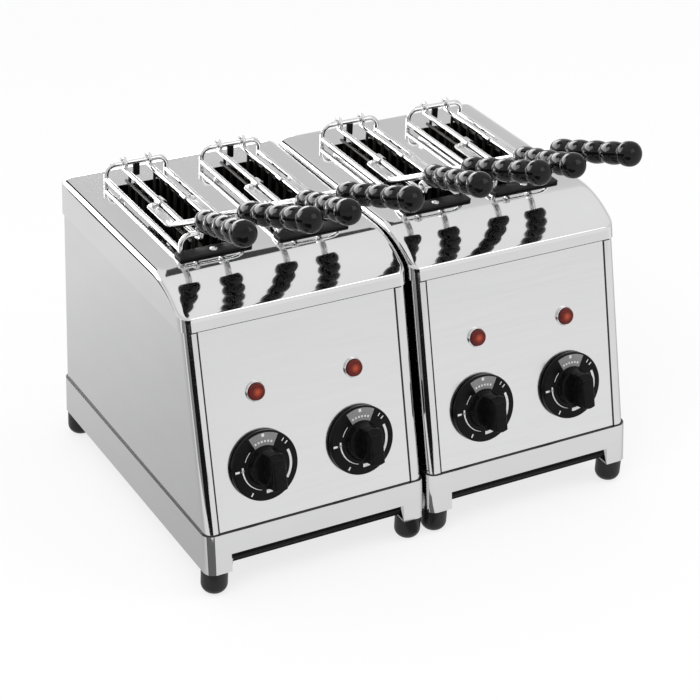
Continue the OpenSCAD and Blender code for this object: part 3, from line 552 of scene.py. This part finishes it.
# Upper side inside the rounded edge: a grid with lines along the slots, and its cells over the slots left out
inner_half = half - side_edge
slot_off = slot_pitch / 2
slot_x0, slot_x1 = slot_off - slot_half, slot_off + slot_half
right_lines = np.concatenate([
    np.linspace(0, slot_x0, 5), np.linspace(slot_x0 + slot_r, slot_x1 - slot_r, 8),
    np.linspace(slot_x1, inner_half, 7),
])
share = np.concatenate([-right_lines[:0:-1], right_lines]) / inner_half
rows, columns = len(in_x), len(share)
grid = np.stack([
    in_x[:, None] * share, np.broadcast_to(in_y[:, None], (rows, columns)),
    np.broadcast_to(top_height(in_y)[:, None], (rows, columns)),
], -1)
cell_x = (grid[:-1, :-1, 0] + grid[1:, 1:, 0]) / 2
cell_y = (grid[:-1, :-1, 1] + grid[1:, 1:, 1]) / 2
open_cell = (np.abs(np.abs(cell_x) - slot_off) < slot_half) & (cell_y > slot_y0) & (cell_y < slot_y1)
top_faces = np.array(ring_faces(rows, columns, False))[~open_cell.ravel()]
hood_parts = [(grid.reshape(-1, 3), top_faces.tolist())]

# Rounded edge and upright band, carried anticlockwise round the grid: left side, front, right side, back
number = np.arange(rows * columns).reshape(rows, columns)
around = np.concatenate([number[::-1, 0], number[0, 1:], number[1:, -1], number[-1, -2:0:-1]])
row_of, share_of = around // columns, share[around % columns]
across_ends = (row_of == 0) | (row_of == rows - 1)
rim_x = out_x[row_of] * np.where(across_ends, share_of, np.sign(share_of))
rim_out = np.column_stack([rim_x, out_y[row_of]])
rim_in = grid.reshape(-1, 3)[around]
hood_rows = [rim_in]
for turn in quarter_turn(edge_rows)[1:]:
    plan = rim_in[:, :2] + (rim_out - rim_in[:, :2]) * math.sin(turn)
    hood_rows.append(np.column_stack([plan, top_height(plan[:, 1]) - edge_w[row_of] * (1 - math.cos(turn))]))
rim_top = hood_rows[-1][:, 2]
for drop in np.linspace(0, 1, band_rows + 1)[1:]:
    level = rim_top + (hood_low - rim_top) * drop
    setback = (level - rim_top) * math.tan(lean) * leans[row_of]
    hood_rows.append(np.column_stack([rim_out[:, 0], rim_out[:, 1] + setback, level]))
hood_parts.append((np.vstack(hood_rows), [face[::-1] for face in ring_faces(len(hood_rows), len(around))]))

# The slots' round corners: what an arc leaves of each corner of the cut
for tip_x, sx in ((slot_x0, -1), (slot_x1, 1), (-slot_x1, -1), (-slot_x0, 1)):
    for tip_y, sy in ((slot_y0, 1), (slot_y1, -1)):
        turn = quarter_turn(7)[::-1]
        hub = np.array([tip_x - sx * slot_r, tip_y + sy * slot_r])
        bow = hub + slot_r * np.column_stack([sx * np.cos(turn), -sy * np.sin(turn)])
        outline = np.vstack([[tip_x, tip_y], bow])[::-sx * sy]
        filling = np.column_stack([outline, np.full(len(outline), hood_top)])
        hood_parts.append((filling, [list(range(len(filling)))]))
hood_steel = grained(
    "hood_steel", (0.735, 0.735, 0.74), 0.755, (0.05, 0.07), (20, 20, 60), 0.0004, metallic=1.0)
add_pair("hood_lid", hood_parts, hood_steel, "hood", sheet_t)

# Painted shade round the front panels
# Thin dark strips of painted shadow where the panel meets the hood above it and the casing's flanges beside
# it
panel_recess = 0.4
seam_back, seam_lap = -0.1, 0.3
above_h, above_out = 1.1, 0.5
beside_w, beside_out = 1.3, 0.25
flange_seam_l, flange_seam_h, flange_seam_in, flange_seam_out = 5.0, 1.5, 0.3, 0.6
panel_turn = np.array([[1, 0, 0], [0, math.sin(lean), -math.cos(lean)], [0, math.cos(lean), math.sin(lean)]])


def on_panel(part, x, up):
    """Place a part drawn with z out of the panel: x across the toaster, up along the leaning panel."""
    along = np.array([0, math.sin(lean), math.cos(lean)])
    inwards = np.array([0, math.cos(lean), -math.sin(lean)])
    spot = np.array([x, front_ledge, plinth_top]) + panel_recess * inwards + up * along
    return moved(part, spot, panel_turn)


def block(x0, x1, y0, y1, z0, z1):
    """Plain box between two values on each axis: eight corners and six faces that look outwards."""
    plan = ((x0, y0), (x1, y0), (x1, y1), (x0, y1))
    points = np.array([[x, y, z] for z in (z0, z1) for x, y in plan], float)
    return points, [[3, 2, 1, 0], [4, 5, 6, 7], [0, 1, 5, 4], [1, 2, 6, 5], [2, 3, 7, 6], [3, 0, 4, 7]]


band_up = (hood_low - plinth_top) / math.cos(lean)
seam_top = band_up + seam_lap
above = block(-flange_edge, flange_edge, band_up - above_h, seam_top, seam_back, above_out)
beside = block(flange_edge - beside_w, flange_edge, seam_lap, band_up, seam_back, beside_out)
on_flange = block(
    flange_edge, flange_edge + flange_seam_l, band_up - flange_seam_h, seam_top,
    flange_seam_in, flange_seam_out,
)
strips = [above, mirrored(beside), mirrored(on_flange), beside, on_flange]
# Dark strips of painted shadow along the panel's edges
add_pair("panel_seam_shade", [on_panel(part, 0, 0) for part in strips], rubber_and_seam_shade)

# Timers and shafts
# Moulded timer cases behind the panel; their steel shafts turn with the knobs
painted(["timers"], grained(
    "timer_case", (0.2, 0.1, 0.045), (0.28, 0.15, 0.07), (0.4, 0.55), 60, 0.05))
painted(["timer_shaft_%d" % n for n in (1, 2, 3, 4)], grained(
    "shaft_steel", 0.6, 0.7, (0.2, 0.3), 300, 0.03, metallic=1.0))

# Timer knobs
# Black moulded dial, round boss and finger bar in one, pushed onto the timer's shaft
# Pale marks are printed on the dial, over a grey field at its top
knob_up = 44.4
dial_gap, dial_t, dial_r = 0.8, 4.0, 27.0
dial_hole, dial_chamfer, dial_edge = 4.0, 0.4, 1.4
boss_r, boss_h, boss_edge, boss_hub = 14.0, 7.0, 1.2, 0.5
boss_step, boss_fillet = 1.0, 1.2
bar_half, bar_h, bar_edge, bar_root = 5.5, 16.0, 1.3, 1.5
bar_slope, bar_dip, bar_dip_l = 4.0, 0.35, 0.9
mark_lift = 0.06
dial_top = dial_gap + dial_t
boss_top = dial_top + boss_h
slot_x = [m * module_x + s * slot_off for m in (-1, 1) for s in (-1, 1)]
rounding, fillet = quarter_turn(7), quarter_turn(6)
knob_radius = np.concatenate([
    [dial_hole, dial_r - dial_chamfer, dial_r], dial_r - dial_edge + dial_edge * np.cos(rounding),
    boss_r + boss_step + boss_fillet * (1 - np.sin(fillet)),
    boss_r - boss_edge + boss_edge * np.cos(rounding), [boss_hub],
])
knob_height = np.concatenate([
    [dial_gap, dial_gap, dial_gap + dial_chamfer], dial_top - dial_edge + dial_edge * np.sin(rounding),
    dial_top + boss_fillet * (1 - np.cos(fillet)),
    boss_top - boss_edge + boss_edge * np.sin(rounding), [boss_top],
])
knob_body = lathe(knob_radius, knob_height, 96)


def bar_form():
    """Finger bar: sections across it, each a wall, a small round, a flat top, a round and a wall.

    The half width follows the boss's circle at both ends, and the top slopes down at the upper end."""
    y = boss_r * np.sin(np.linspace(-np.pi / 2, np.pi / 2, 61))
    wide = np.minimum(bar_half, np.sqrt(np.clip(boss_r ** 2 - y ** 2, 0, None)))[:, None]
    past = y - (boss_r - bar_slope)
    high = boss_top + bar_h - np.clip(past, 0, None) - bar_dip * np.exp(-(past / bar_dip_l) ** 2)
    turn = quarter_turn(6)
    soft = np.minimum(bar_edge, wide)
    left_x = -wide + soft * (1 - np.cos(turn))
    left_z = high[:, None] - soft * (1 - np.sin(turn))
    low = np.full((len(y), 1), boss_top - bar_root)
    x = np.hstack([-wide, left_x, -left_x[:, ::-1], wide])
    z = np.hstack([low, left_z, left_z[:, ::-1], low])
    points = np.stack([x, np.broadcast_to(y[:, None], x.shape), z], -1)
    return points.reshape(-1, 3), [face[::-1] for face in ring_faces(len(y), x.shape[1], False)]


def arc_mark(r0, r1, a0, a1, width=None, steps=40):
    """Flat ring sector on the dial, from angle a0 to a1 (degrees clockwise from the top), between two radii.

    width tapers it: its outer radius grows from r0 plus width to r1."""
    turn = np.radians(90 - np.linspace(a0, a1, steps))
    outer = np.linspace(r1 if width is None else r0 + width, r1, steps)
    radius = np.stack([np.full(steps, r0), outer])
    level = np.full((2, steps), dial_top + mark_lift)
    points = np.stack([radius * np.cos(turn), radius * np.sin(turn), level], -1)
    return points.reshape(-1, 3), ring_faces(2, steps, False)


def tick_mark(r0, r1, angle, wide):
    """Short straight stroke on the dial along a radius, angle in degrees clockwise from the top."""
    way = np.array([math.sin(math.radians(angle)), math.cos(math.radians(angle))])
    across = np.array([way[1], -way[0]]) * wide / 2
    plan = np.array([way * r0 - across, way * r0 + across, way * r1 + across, way * r1 - across])
    return np.column_stack([plan, np.full(4, dial_top + mark_lift)]), [[0, 1, 2, 3]]


white_marks = [
    arc_mark(18.2, 19.6, 196, 278, 0.25), arc_mark(18.4, 21.0, 158, 184), arc_mark(19.8, 21.8, 66, 128),
    arc_mark(17.2, 17.7, 292, 318), tick_mark(21.5, 25.0, 270, 1.6), tick_mark(22.0, 25.0, 214, 1.1),
    tick_mark(21.8, 24.6, 52, 0.9), tick_mark(21.8, 24.6, 43, 0.7),
]
grey_marks = [arc_mark(15.4, 25.6, -27, 29), tick_mark(17.5, 20.5, 270, 0.9)]
field_marks = [arc_mark(18.2, 19.8, a - 2.2, a + 2.2, steps=6) for a in range(-20, 21, 8)]
field_marks.append(tick_mark(22.6, 25.0, 0, 2.2))
white_marks += [moved(part, (0, 0, mark_lift)) for part in field_marks]
knob_black = grained("black_knob", 0.003, 0.006, (0.2, 0.28), 250, 0.02, shine=0.1)
print_white = grained("dial_print", 0.62, 0.76, (0.45, 0.6), 900, 0.02)
print_grey = grained("dial_print_grey", 0.17, 0.24, (0.45, 0.6), 900, 0.02)
for n, x in enumerate(slot_x, 1):
    for name, parts, material, nodes in (
        ("moulding", [knob_body, bar_form()], knob_black, ["knob_%d" % n]),
        ("marks", white_marks, print_white, []),
        ("field", grey_marks, print_grey, []),
    ):
        add_piece(
            "knob_%d_%s" % (n, name), [on_panel(part, x, knob_up) for part in parts], material,
            "timer_knob_%d" % n, nodes,
        )

# Pilot lamps
# A bright turned rim with a round body behind the panel holds a red lens with a cut pattern
# The lens glows warm towards its centre
lamp_up = 101.0
lamp_body_r, lamp_body_l = 5.5, 29.0
rim_r, rim_h, rim_round, rim_gap, rim_neck = 7.75, 1.1, 0.6, 0.1, 1.0
lens_r, lens_out, lens_edge, lens_seat, lens_hub = 6.5, 4.1, 1.3, 0.9, 0.3
rim_turn = np.linspace(0, np.pi, 9)
lamp_rim = lathe(
    np.concatenate([
        [lamp_body_r, lamp_body_r, rim_r, rim_r], rim_r - rim_round + rim_round * np.cos(rim_turn), [lens_r],
    ]),
    np.concatenate([
        [-lamp_body_l, -rim_neck, rim_gap, rim_h], rim_h + rim_round * np.sin(rim_turn), [lens_seat],
    ]),
)
lens_turn = quarter_turn(10)
lens_flat = np.linspace(lens_r - lens_edge, lens_hub, 9)[1:]
lamp_lens = lathe(
    np.concatenate([[lens_r, lens_r], lens_r - lens_edge + lens_edge * np.cos(lens_turn), lens_flat]),
    np.concatenate([
        [lens_seat, lens_seat + rim_gap], lens_out - lens_edge + lens_edge * np.sin(lens_turn),
        np.full(len(lens_flat), lens_out),
    ]),
)
lens_glow = np.clip(1 - np.hypot(lamp_lens[0][:, 0], lamp_lens[0][:, 1]) / lens_r, 0, 1)
chrome = grained("lamp_rim", 0.72, 0.82, (0.08, 0.14), 400, 0.02, metallic=1.0)
rims = [on_panel(lamp_rim, x, lamp_up) for x in slot_x]
add_piece("lamp_rims", rims, chrome, "cabinet", ["pilot_bodies"])
lens_red = grained("lamp_red", (0.07, 0.004, 0.002), (0.13, 0.007, 0.003), (0.15, 0.22), 500, 0.05, shine=0.3)
lens_nodes, lens_links = lens_red.node_tree.nodes, lens_red.node_tree.links
lens_shader = lens_nodes["Principled BSDF"]
lens_coords = lens_nodes.new("ShaderNodeTexCoord")
lens_cells = lens_nodes.new("ShaderNodeTexVoronoi")
lens_cells.inputs["Scale"].default_value = 620.0
lens_cells.inputs["Randomness"].default_value = 0.15
lens_relief = lens_nodes.new("ShaderNodeBump")
lens_relief.inputs["Strength"].default_value = 0.6
lens_relief.inputs["Distance"].default_value = 0.0006
lens_warm = lens_nodes.new("ShaderNodeAttribute")
lens_warm.attribute_name = "warm"
lens_ramp = lens_nodes.new("ShaderNodeValToRGB")
lens_ramp.color_ramp.elements[0].position = 0.4
lens_ramp.color_ramp.elements[0].color = (0.0, 0.0, 0.0, 1)
lens_ramp.color_ramp.elements[1].position = 0.95
lens_ramp.color_ramp.elements[1].color = (0.8, 0.13, 0.045, 1)
lens_shader.inputs["Emission Strength"].default_value = 0.42
lens_links.new(lens_coords.outputs["Object"], lens_cells.inputs["Vector"])
lens_links.new(lens_cells.outputs["Distance"], lens_relief.inputs["Height"])
lens_links.new(lens_relief.outputs["Normal"], lens_shader.inputs["Normal"])
lens_links.new(lens_warm.outputs["Fac"], lens_ramp.inputs["Fac"])
lens_links.new(lens_ramp.outputs["Color"], lens_shader.inputs["Emission Color"])
lenses = [on_panel(lamp_lens, x, lamp_up) for x in slot_x]
lens_piece = add_piece("lamp_lenses", lenses, lens_red, "cabinet", ["pilot_lenses"])
warm = lens_piece.data.attributes.new("warm", "FLOAT", "POINT")
warm.data.foreach_set("value", np.tile(lens_glow, len(slot_x)).astype(np.float32))

# Cable glands, screws and bolts
# Black moulded glands behind, pan-head screws round the back panels, bolts and spacers between the modules
painted(["cable_glands"], grained("gland_black", 0.01, 0.022, (0.35, 0.45), 200, 0.05))
painted(["panel_screws", "tie_bolts"], grained(
    "fixing_steel", 0.58, 0.7, (0.2, 0.32), 300, 0.05, metallic=1.0))

# Tong frames
# Chromed wire over each slot: two bent arches and two rails welded to them
# A riveted plate in front and a stop behind are of steel painted near black as painted shade
wire_r = 2.0
rail_half, rail_h = 25.5, 5.0
guide_h, guide_bend = 16.0, 7.5
guide_y0, guide_y1 = 108.0, 241.0
frame_gap = 0.2
plate_half, plate_d, plate_t, plate_back = 29.5, 13.0, 2.0, 4.0
plate_corner, plate_edge = 2.0, 0.5
rivet_r, rivet_h, rivet_hub = 3.0, 1.2, 0.2
stop_half, stop_h, stop_t, stop_corner, stop_edge = 2.65, 12.0, 2.0, 1.0, 0.3
wire_sides = 20


def straight(start, end):
    """Straight path from start to end with a point halfway."""
    return np.linspace(start, end, 3)


def rounded(corners, radius, steps=8):
    """Polyline through the corners with each inner corner replaced by an arc of that radius."""
    corners = np.asarray(corners, float)
    pieces = [corners[:1]]
    for before, tip, after in zip(corners[:-2], corners[1:-1], corners[2:]):
        a = (before - tip) / np.linalg.norm(before - tip)
        b = (after - tip) / np.linalg.norm(after - tip)
        opening = math.acos(np.clip(a @ b, -1, 1)) / 2
        hub = tip + (a + b) / np.linalg.norm(a + b) * radius / math.sin(opening)
        start = tip + a * radius / math.tan(opening) - hub
        end = tip + b * radius / math.tan(opening) - hub
        sweep = math.pi - 2 * opening
        t = np.linspace(0, 1, steps + 1)[:, None]
        pieces.append(hub + (np.sin((1 - t) * sweep) * start + np.sin(t * sweep) * end) / math.sin(sweep))
    return np.vstack(pieces + [corners[-1:]])


def wire(path, radius, level, sides=14):
    """Round wire: a circle carried along the path, square to it, with flat ends slightly rounded off.

    level is any direction that the path never runs along; it fixes where each circle starts."""
    path = np.asarray(path, float)
    first = path[1] - path[0]
    last = path[-1] - path[-2]
    tip = 0.35 * radius
    path = np.vstack([
        path[:1], path[:1] + first / np.linalg.norm(first) * tip, path[1:-1],
        path[-1:] - last / np.linalg.norm(last) * tip, path[-1:],
    ])
    size = np.full(len(path), radius)
    size[[0, -1]] = radius - tip
    way = np.gradient(path, axis=0)
    way /= np.linalg.norm(way, axis=1, keepdims=True)
    across = np.cross(np.asarray(level, float), way)
    across /= np.linalg.norm(across, axis=1, keepdims=True)
    other = np.cross(way, across)
    turn = np.arange(sides) * 2 * np.pi / sides
    circle = across[:, None] * np.cos(turn)[:, None] + other[:, None] * np.sin(turn)[:, None]
    points = path[:, None] + size[:, None, None] * circle
    return points.reshape(-1, 3), capped_faces(len(path), sides)


def plate(half_w, y0, y1, z0, z1, corner, edge):
    """Flat plate with round corners in plan and a small round along its upper and lower edges."""
    loop, normals = round_loop(half_w, y0, y1, corner, steps=6)
    turn = quarter_turn(4)
    inset = np.concatenate([edge * (1 - np.sin(turn)), edge * (1 - np.cos(turn))])
    height = np.concatenate([z0 + edge * (1 - np.cos(turn)), z1 - edge + edge * np.sin(turn)])
    points, faces = carried(loop, normals, inset, height)
    return points, capped_faces(len(inset), len(loop))


def add_to_frames(name, parts, material, node=None):
    """The same parts on the frame of each of the four tongs, drawn about its slot on the hood's top."""
    for n, x in enumerate(slot_x, 1):
        body = "tong_%d" % n
        add_piece(
            body + "_" + name, [moved(part, (x, 0, hood_top)) for part in parts], material,
            body, [body + "_" + node] if node else [],
        )


tong_frame = []
for y in (guide_y0, guide_y1):
    bends = [(-rail_half, frame_gap), (-rail_half, guide_h), (rail_half, guide_h), (rail_half, frame_gap)]
    arch = rounded([(x, y, z) for x, z in bends], guide_bend, 12)
    tong_frame.append(wire(arch, wire_r, (0, 1, 0), wire_sides))
for x in (-rail_half, rail_half):
    rail = straight((x, guide_y0, rail_h), (x, guide_y1, rail_h))
    tong_frame.append(wire(rail, wire_r, (0, 0, 1), wire_sides))
plate_y = guide_y0 + plate_back - plate_d
plate_top = frame_gap + plate_t
front_plate = plate(
    plate_half, plate_y, plate_y + plate_d, frame_gap, plate_top, plate_corner, plate_edge)
dome = quarter_turn(7)
rivet = lathe(
    np.concatenate([[rivet_r], rivet_r * np.cos(dome[:-1]), [rivet_hub]]),
    np.concatenate([[0], rivet_h * np.sin(dome)]) + plate_top, 24,
)
tong_frame.append(moved(rivet, (0, plate_y + plate_d / 2, 0)))
upwards = np.array([[1, 0, 0], [0, 0, -1], [0, 1, 0]])
stop = plate(stop_half, -stop_h, 0, -stop_t / 2, stop_t / 2, stop_corner, stop_edge)
end_plates = [front_plate, moved(stop, (0, guide_y1, guide_h), upwards)]
wire_chrome = grained("wire_chrome", (0.74, 0.74, 0.745), 0.84, (0.07, 0.14), 200, 0.02, metallic=1.0)
# The end plates' near black is painted shade
painted_shade_black = grained("end_plate_painted_shade", 0.003, (0.009, 0.0085, 0.008), (0.35, 0.5), (120, 120, 60), 0.05, shine=0.2)
add_to_frames("wire_frame", tong_frame, wire_chrome, "frame")
add_to_frames("end_plates", end_plates, painted_shade_black)

# Tong jaws
# Each jaw is a grid of scorched wires welded under a chromed rod, with rests for the bread at its foot
# Loops at the rod's ends run on the frame's arches
rod_x, rod_h, rod_r, rod_gap = 10.5, 11.55, 2.25, 0.05
grid_r, grid_sides = 1.25, 10
jaw_depth, jaw_y0, jaw_y1 = 118.0, 118.0, 230.0
jaw_columns, jaw_rows = 10, 4
rest_reach, rest_r = 5.0, 1.2
row_x, row_over = rod_x + 2.2, 2.5
row_first, row_last = 3.75, 2.5
column_top = rod_h - rod_r - rod_gap
row_step = (column_top - row_first + jaw_depth - row_last) / jaw_rows
loop_r, loop_wire_r, loop_turns, loop_sides = 4.0, 1.5, 32, 12


def loop_round(x, y, z):
    """Ring of wire about the x direction: a small circle carried round a larger one."""
    big = np.linspace(0, 2 * np.pi, loop_turns + 1)[:, None]
    small = np.arange(loop_sides) * 2 * np.pi / loop_sides
    reach = loop_r + loop_wire_r * np.cos(small)
    side = np.broadcast_to(loop_wire_r * np.sin(small), (loop_turns + 1, loop_sides))
    points = np.stack([side, reach * np.cos(big), reach * np.sin(big)], -1)
    faces = ring_faces(loop_turns + 1, loop_sides)
    return points.reshape(-1, 3) + [x, y, z], [face[::-1] for face in faces]


def add_to_halves(name, parts, material, node=None):
    """The same parts on the right half of each of the four tongs and, mirrored, on its left half."""
    for n, x in enumerate(slot_x, 1):
        for word, half_parts in (("left", [mirrored(part) for part in parts]), ("right", parts)):
            body = "tong_%d_%s" % (n, word)
            add_piece(
                body + "_" + name, [moved(part, (x, 0, hood_top)) for part in half_parts], material,
                body, [body + "_" + node] if node else [],
            )


rod = straight((rod_x, guide_y0, rod_h), (rod_x, guide_y1, rod_h))
hanger = [wire(rod, rod_r, (0, 0, 1), wire_sides)]
hanger += [loop_round(rod_x, y, guide_h) for y in (guide_y0, guide_y1)]
grid_wires = []
for y in np.linspace(jaw_y0, jaw_y1, jaw_columns):
    column_foot = (rod_x, y, -jaw_depth)
    grid_wires.append(wire(straight((rod_x, y, column_top), column_foot), grid_r, (0, 1, 0), grid_sides))
    rest = straight(column_foot, (rod_x - rest_reach, y, -jaw_depth))
    grid_wires.append(wire(rest, rest_r, (0, 1, 0), grid_sides))
row_places = [(row_x, column_top - row_first - k * row_step) for k in range(jaw_rows)]
for x, z in row_places + [(rod_x, -jaw_depth)]:
    row = straight((x, jaw_y0 - row_over, z), (x, jaw_y1 + row_over, z))
    grid_wires.append(wire(row, grid_r, (0, 0, 1), grid_sides))
scorched = grained(
    "scorched_steel", (0.02, 0.019, 0.018), (0.07, 0.066, 0.062), (0.3, 0.45), (120, 120, 60), 0.05,
    metallic=0.7,
)
add_to_halves("rod", hanger, wire_chrome, "jaw")
add_to_halves("grid", grid_wires, scorched)

# Tong arms
# A flat steel strip, tilted outwards and pinned to a collar on the jaw's rod, that runs into a round shank
# The shank turns up in front and carries the grip
collar_l, collar_r, collar_edge = 7.96, 3.85, 0.3
collar_bore = rod_r + rod_gap
strip_x, strip_h = 17.39, 9.295
strip_half, strip_t, strip_lap = 4.0, 1.6, 1.2
strip_corner, strip_edge = 3.9, 0.4
strip_tilt = math.radians(10)
pin_h, pin_r, pin_x0, pin_x1 = strip_h + 1.28, 1.6, rod_x + 2.5, 18.4
shank_y, shank_r, shank_bend = 140.0, 2.5, 5.0
shank_lap, shank_in = 6.0, 14.0
grip_base = np.array([16.3, 92.7, 34.3])
grip_rise, grip_splay = math.radians(19.2), math.radians(6.5)
grip_way = np.array([
    math.sin(grip_splay) * math.cos(grip_rise), -math.cos(grip_splay) * math.cos(grip_rise),
    math.sin(grip_rise),
])
backwards = np.array([[1, 0, 0], [0, 0, 1], [0, -1, 0]])
collar_end = collar_l / 2
collar = lathe(
    [collar_bore, collar_r - collar_edge, collar_r, collar_r, collar_r - collar_edge, collar_bore],
    [-collar_end, -collar_end, collar_edge - collar_end, collar_end - collar_edge, collar_end, collar_end],
    28,
)
pin = wire(straight((pin_x0, slot_mid, pin_h), (pin_x1, slot_mid, pin_h)), pin_r, (0, 0, 1))
tilt = np.array([
    [math.cos(strip_tilt), 0, math.sin(strip_tilt)], [0, 1, 0],
    [-math.sin(strip_tilt), 0, math.cos(strip_tilt)],
])
strip_front = shank_y - slot_mid - strip_lap
strip = plate(strip_half, strip_front, strip_half, -strip_t / 2, strip_t / 2, strip_corner, strip_edge)
shank = rounded([
    (strip_x, shank_y + shank_lap, strip_h), (strip_x, shank_y, strip_h),
    grip_base, grip_base + shank_in * grip_way,
], shank_bend, 10)
arm = [
    moved(collar, (rod_x, slot_mid, rod_h), backwards), pin, moved(strip, (strip_x, slot_mid, strip_h), tilt),
    wire(shank, shank_r, (1, 0, 0), wire_sides),
]
arm_steel = grained("arm_steel", (0.62, 0.62, 0.625), 0.74, (0.12, 0.2), (200, 60, 200), 0.03, metallic=1.0)
add_to_halves("strip", arm, arm_steel, "arm")

# Grips
# Turned handles of glossy black plastic pushed onto the shanks: four beads with narrow waists
# and a round, flattened end knob
grip_l, grip_start, grip_end = 88.0, 3.1, 96.0
beads, bead_r, waist_r = 4, 9.0, 7.0
end_r, end_at, end_back, end_power = 9.75, 87.5, 7.5, 2.6
end_share = 0.8
grip_lip, grip_fit, grip_tip = 1.2, 0.1, 0.1
grip_points, grip_sides, ease_reach = 260, 40, 3


def grip_profile():
    """Radius along the grip: beads as arcs between waists, then a flattened end knob, the valleys eased."""
    along = np.linspace(grip_start, grip_end, grip_points)
    bead_l = (grip_l - end_r * end_share - grip_start) / beads
    place = ((along - grip_start) / bead_l) % 1 - 0.5
    swell = bead_r - waist_r
    circle = ((bead_l / 2) ** 2 + swell ** 2) / (2 * swell)
    bead = bead_r - circle + np.sqrt(np.clip(circle ** 2 - (place * bead_l) ** 2, 0, None))
    bead = np.where(along < grip_start + beads * bead_l, bead, waist_r * (along < grip_l))
    far = np.where(along < end_at, (end_at - along) / end_back, (along - end_at) / (grip_end - end_at))
    knob = end_r * np.clip(1 - far ** end_power, 0, None) ** (1 / end_power)
    radius = np.maximum(bead, knob)
    window = 2 * ease_reach + 1
    ease = np.convolve(np.pad(radius, ease_reach, "edge"), np.ones(window) / window, "valid")
    radius = np.where(along < grip_l, np.maximum(radius, ease), radius)
    lip = np.clip(along - grip_start, 0, grip_lip)
    radius = radius - grip_lip + np.sqrt(np.clip(grip_lip ** 2 - (grip_lip - lip) ** 2, 0, None))
    radius = np.concatenate([[shank_r + grip_fit], np.maximum(radius, grip_tip)])
    return radius, np.concatenate([[grip_start], along])


grip_right = np.array([math.cos(grip_splay), math.sin(grip_splay), 0])
grip_turn = np.stack([grip_right, np.cross(grip_way, grip_right), grip_way], 1)
grip = moved(lathe(*grip_profile(), grip_sides), grip_base, grip_turn)
grip_black = grained("black_grip", 0.003, 0.005, (0.06, 0.09), 150, 0.004, shine=0.25)
add_to_halves("handle", [grip], grip_black, "grip")

# Bring the scene up to date
bpy.context.view_layer.update()
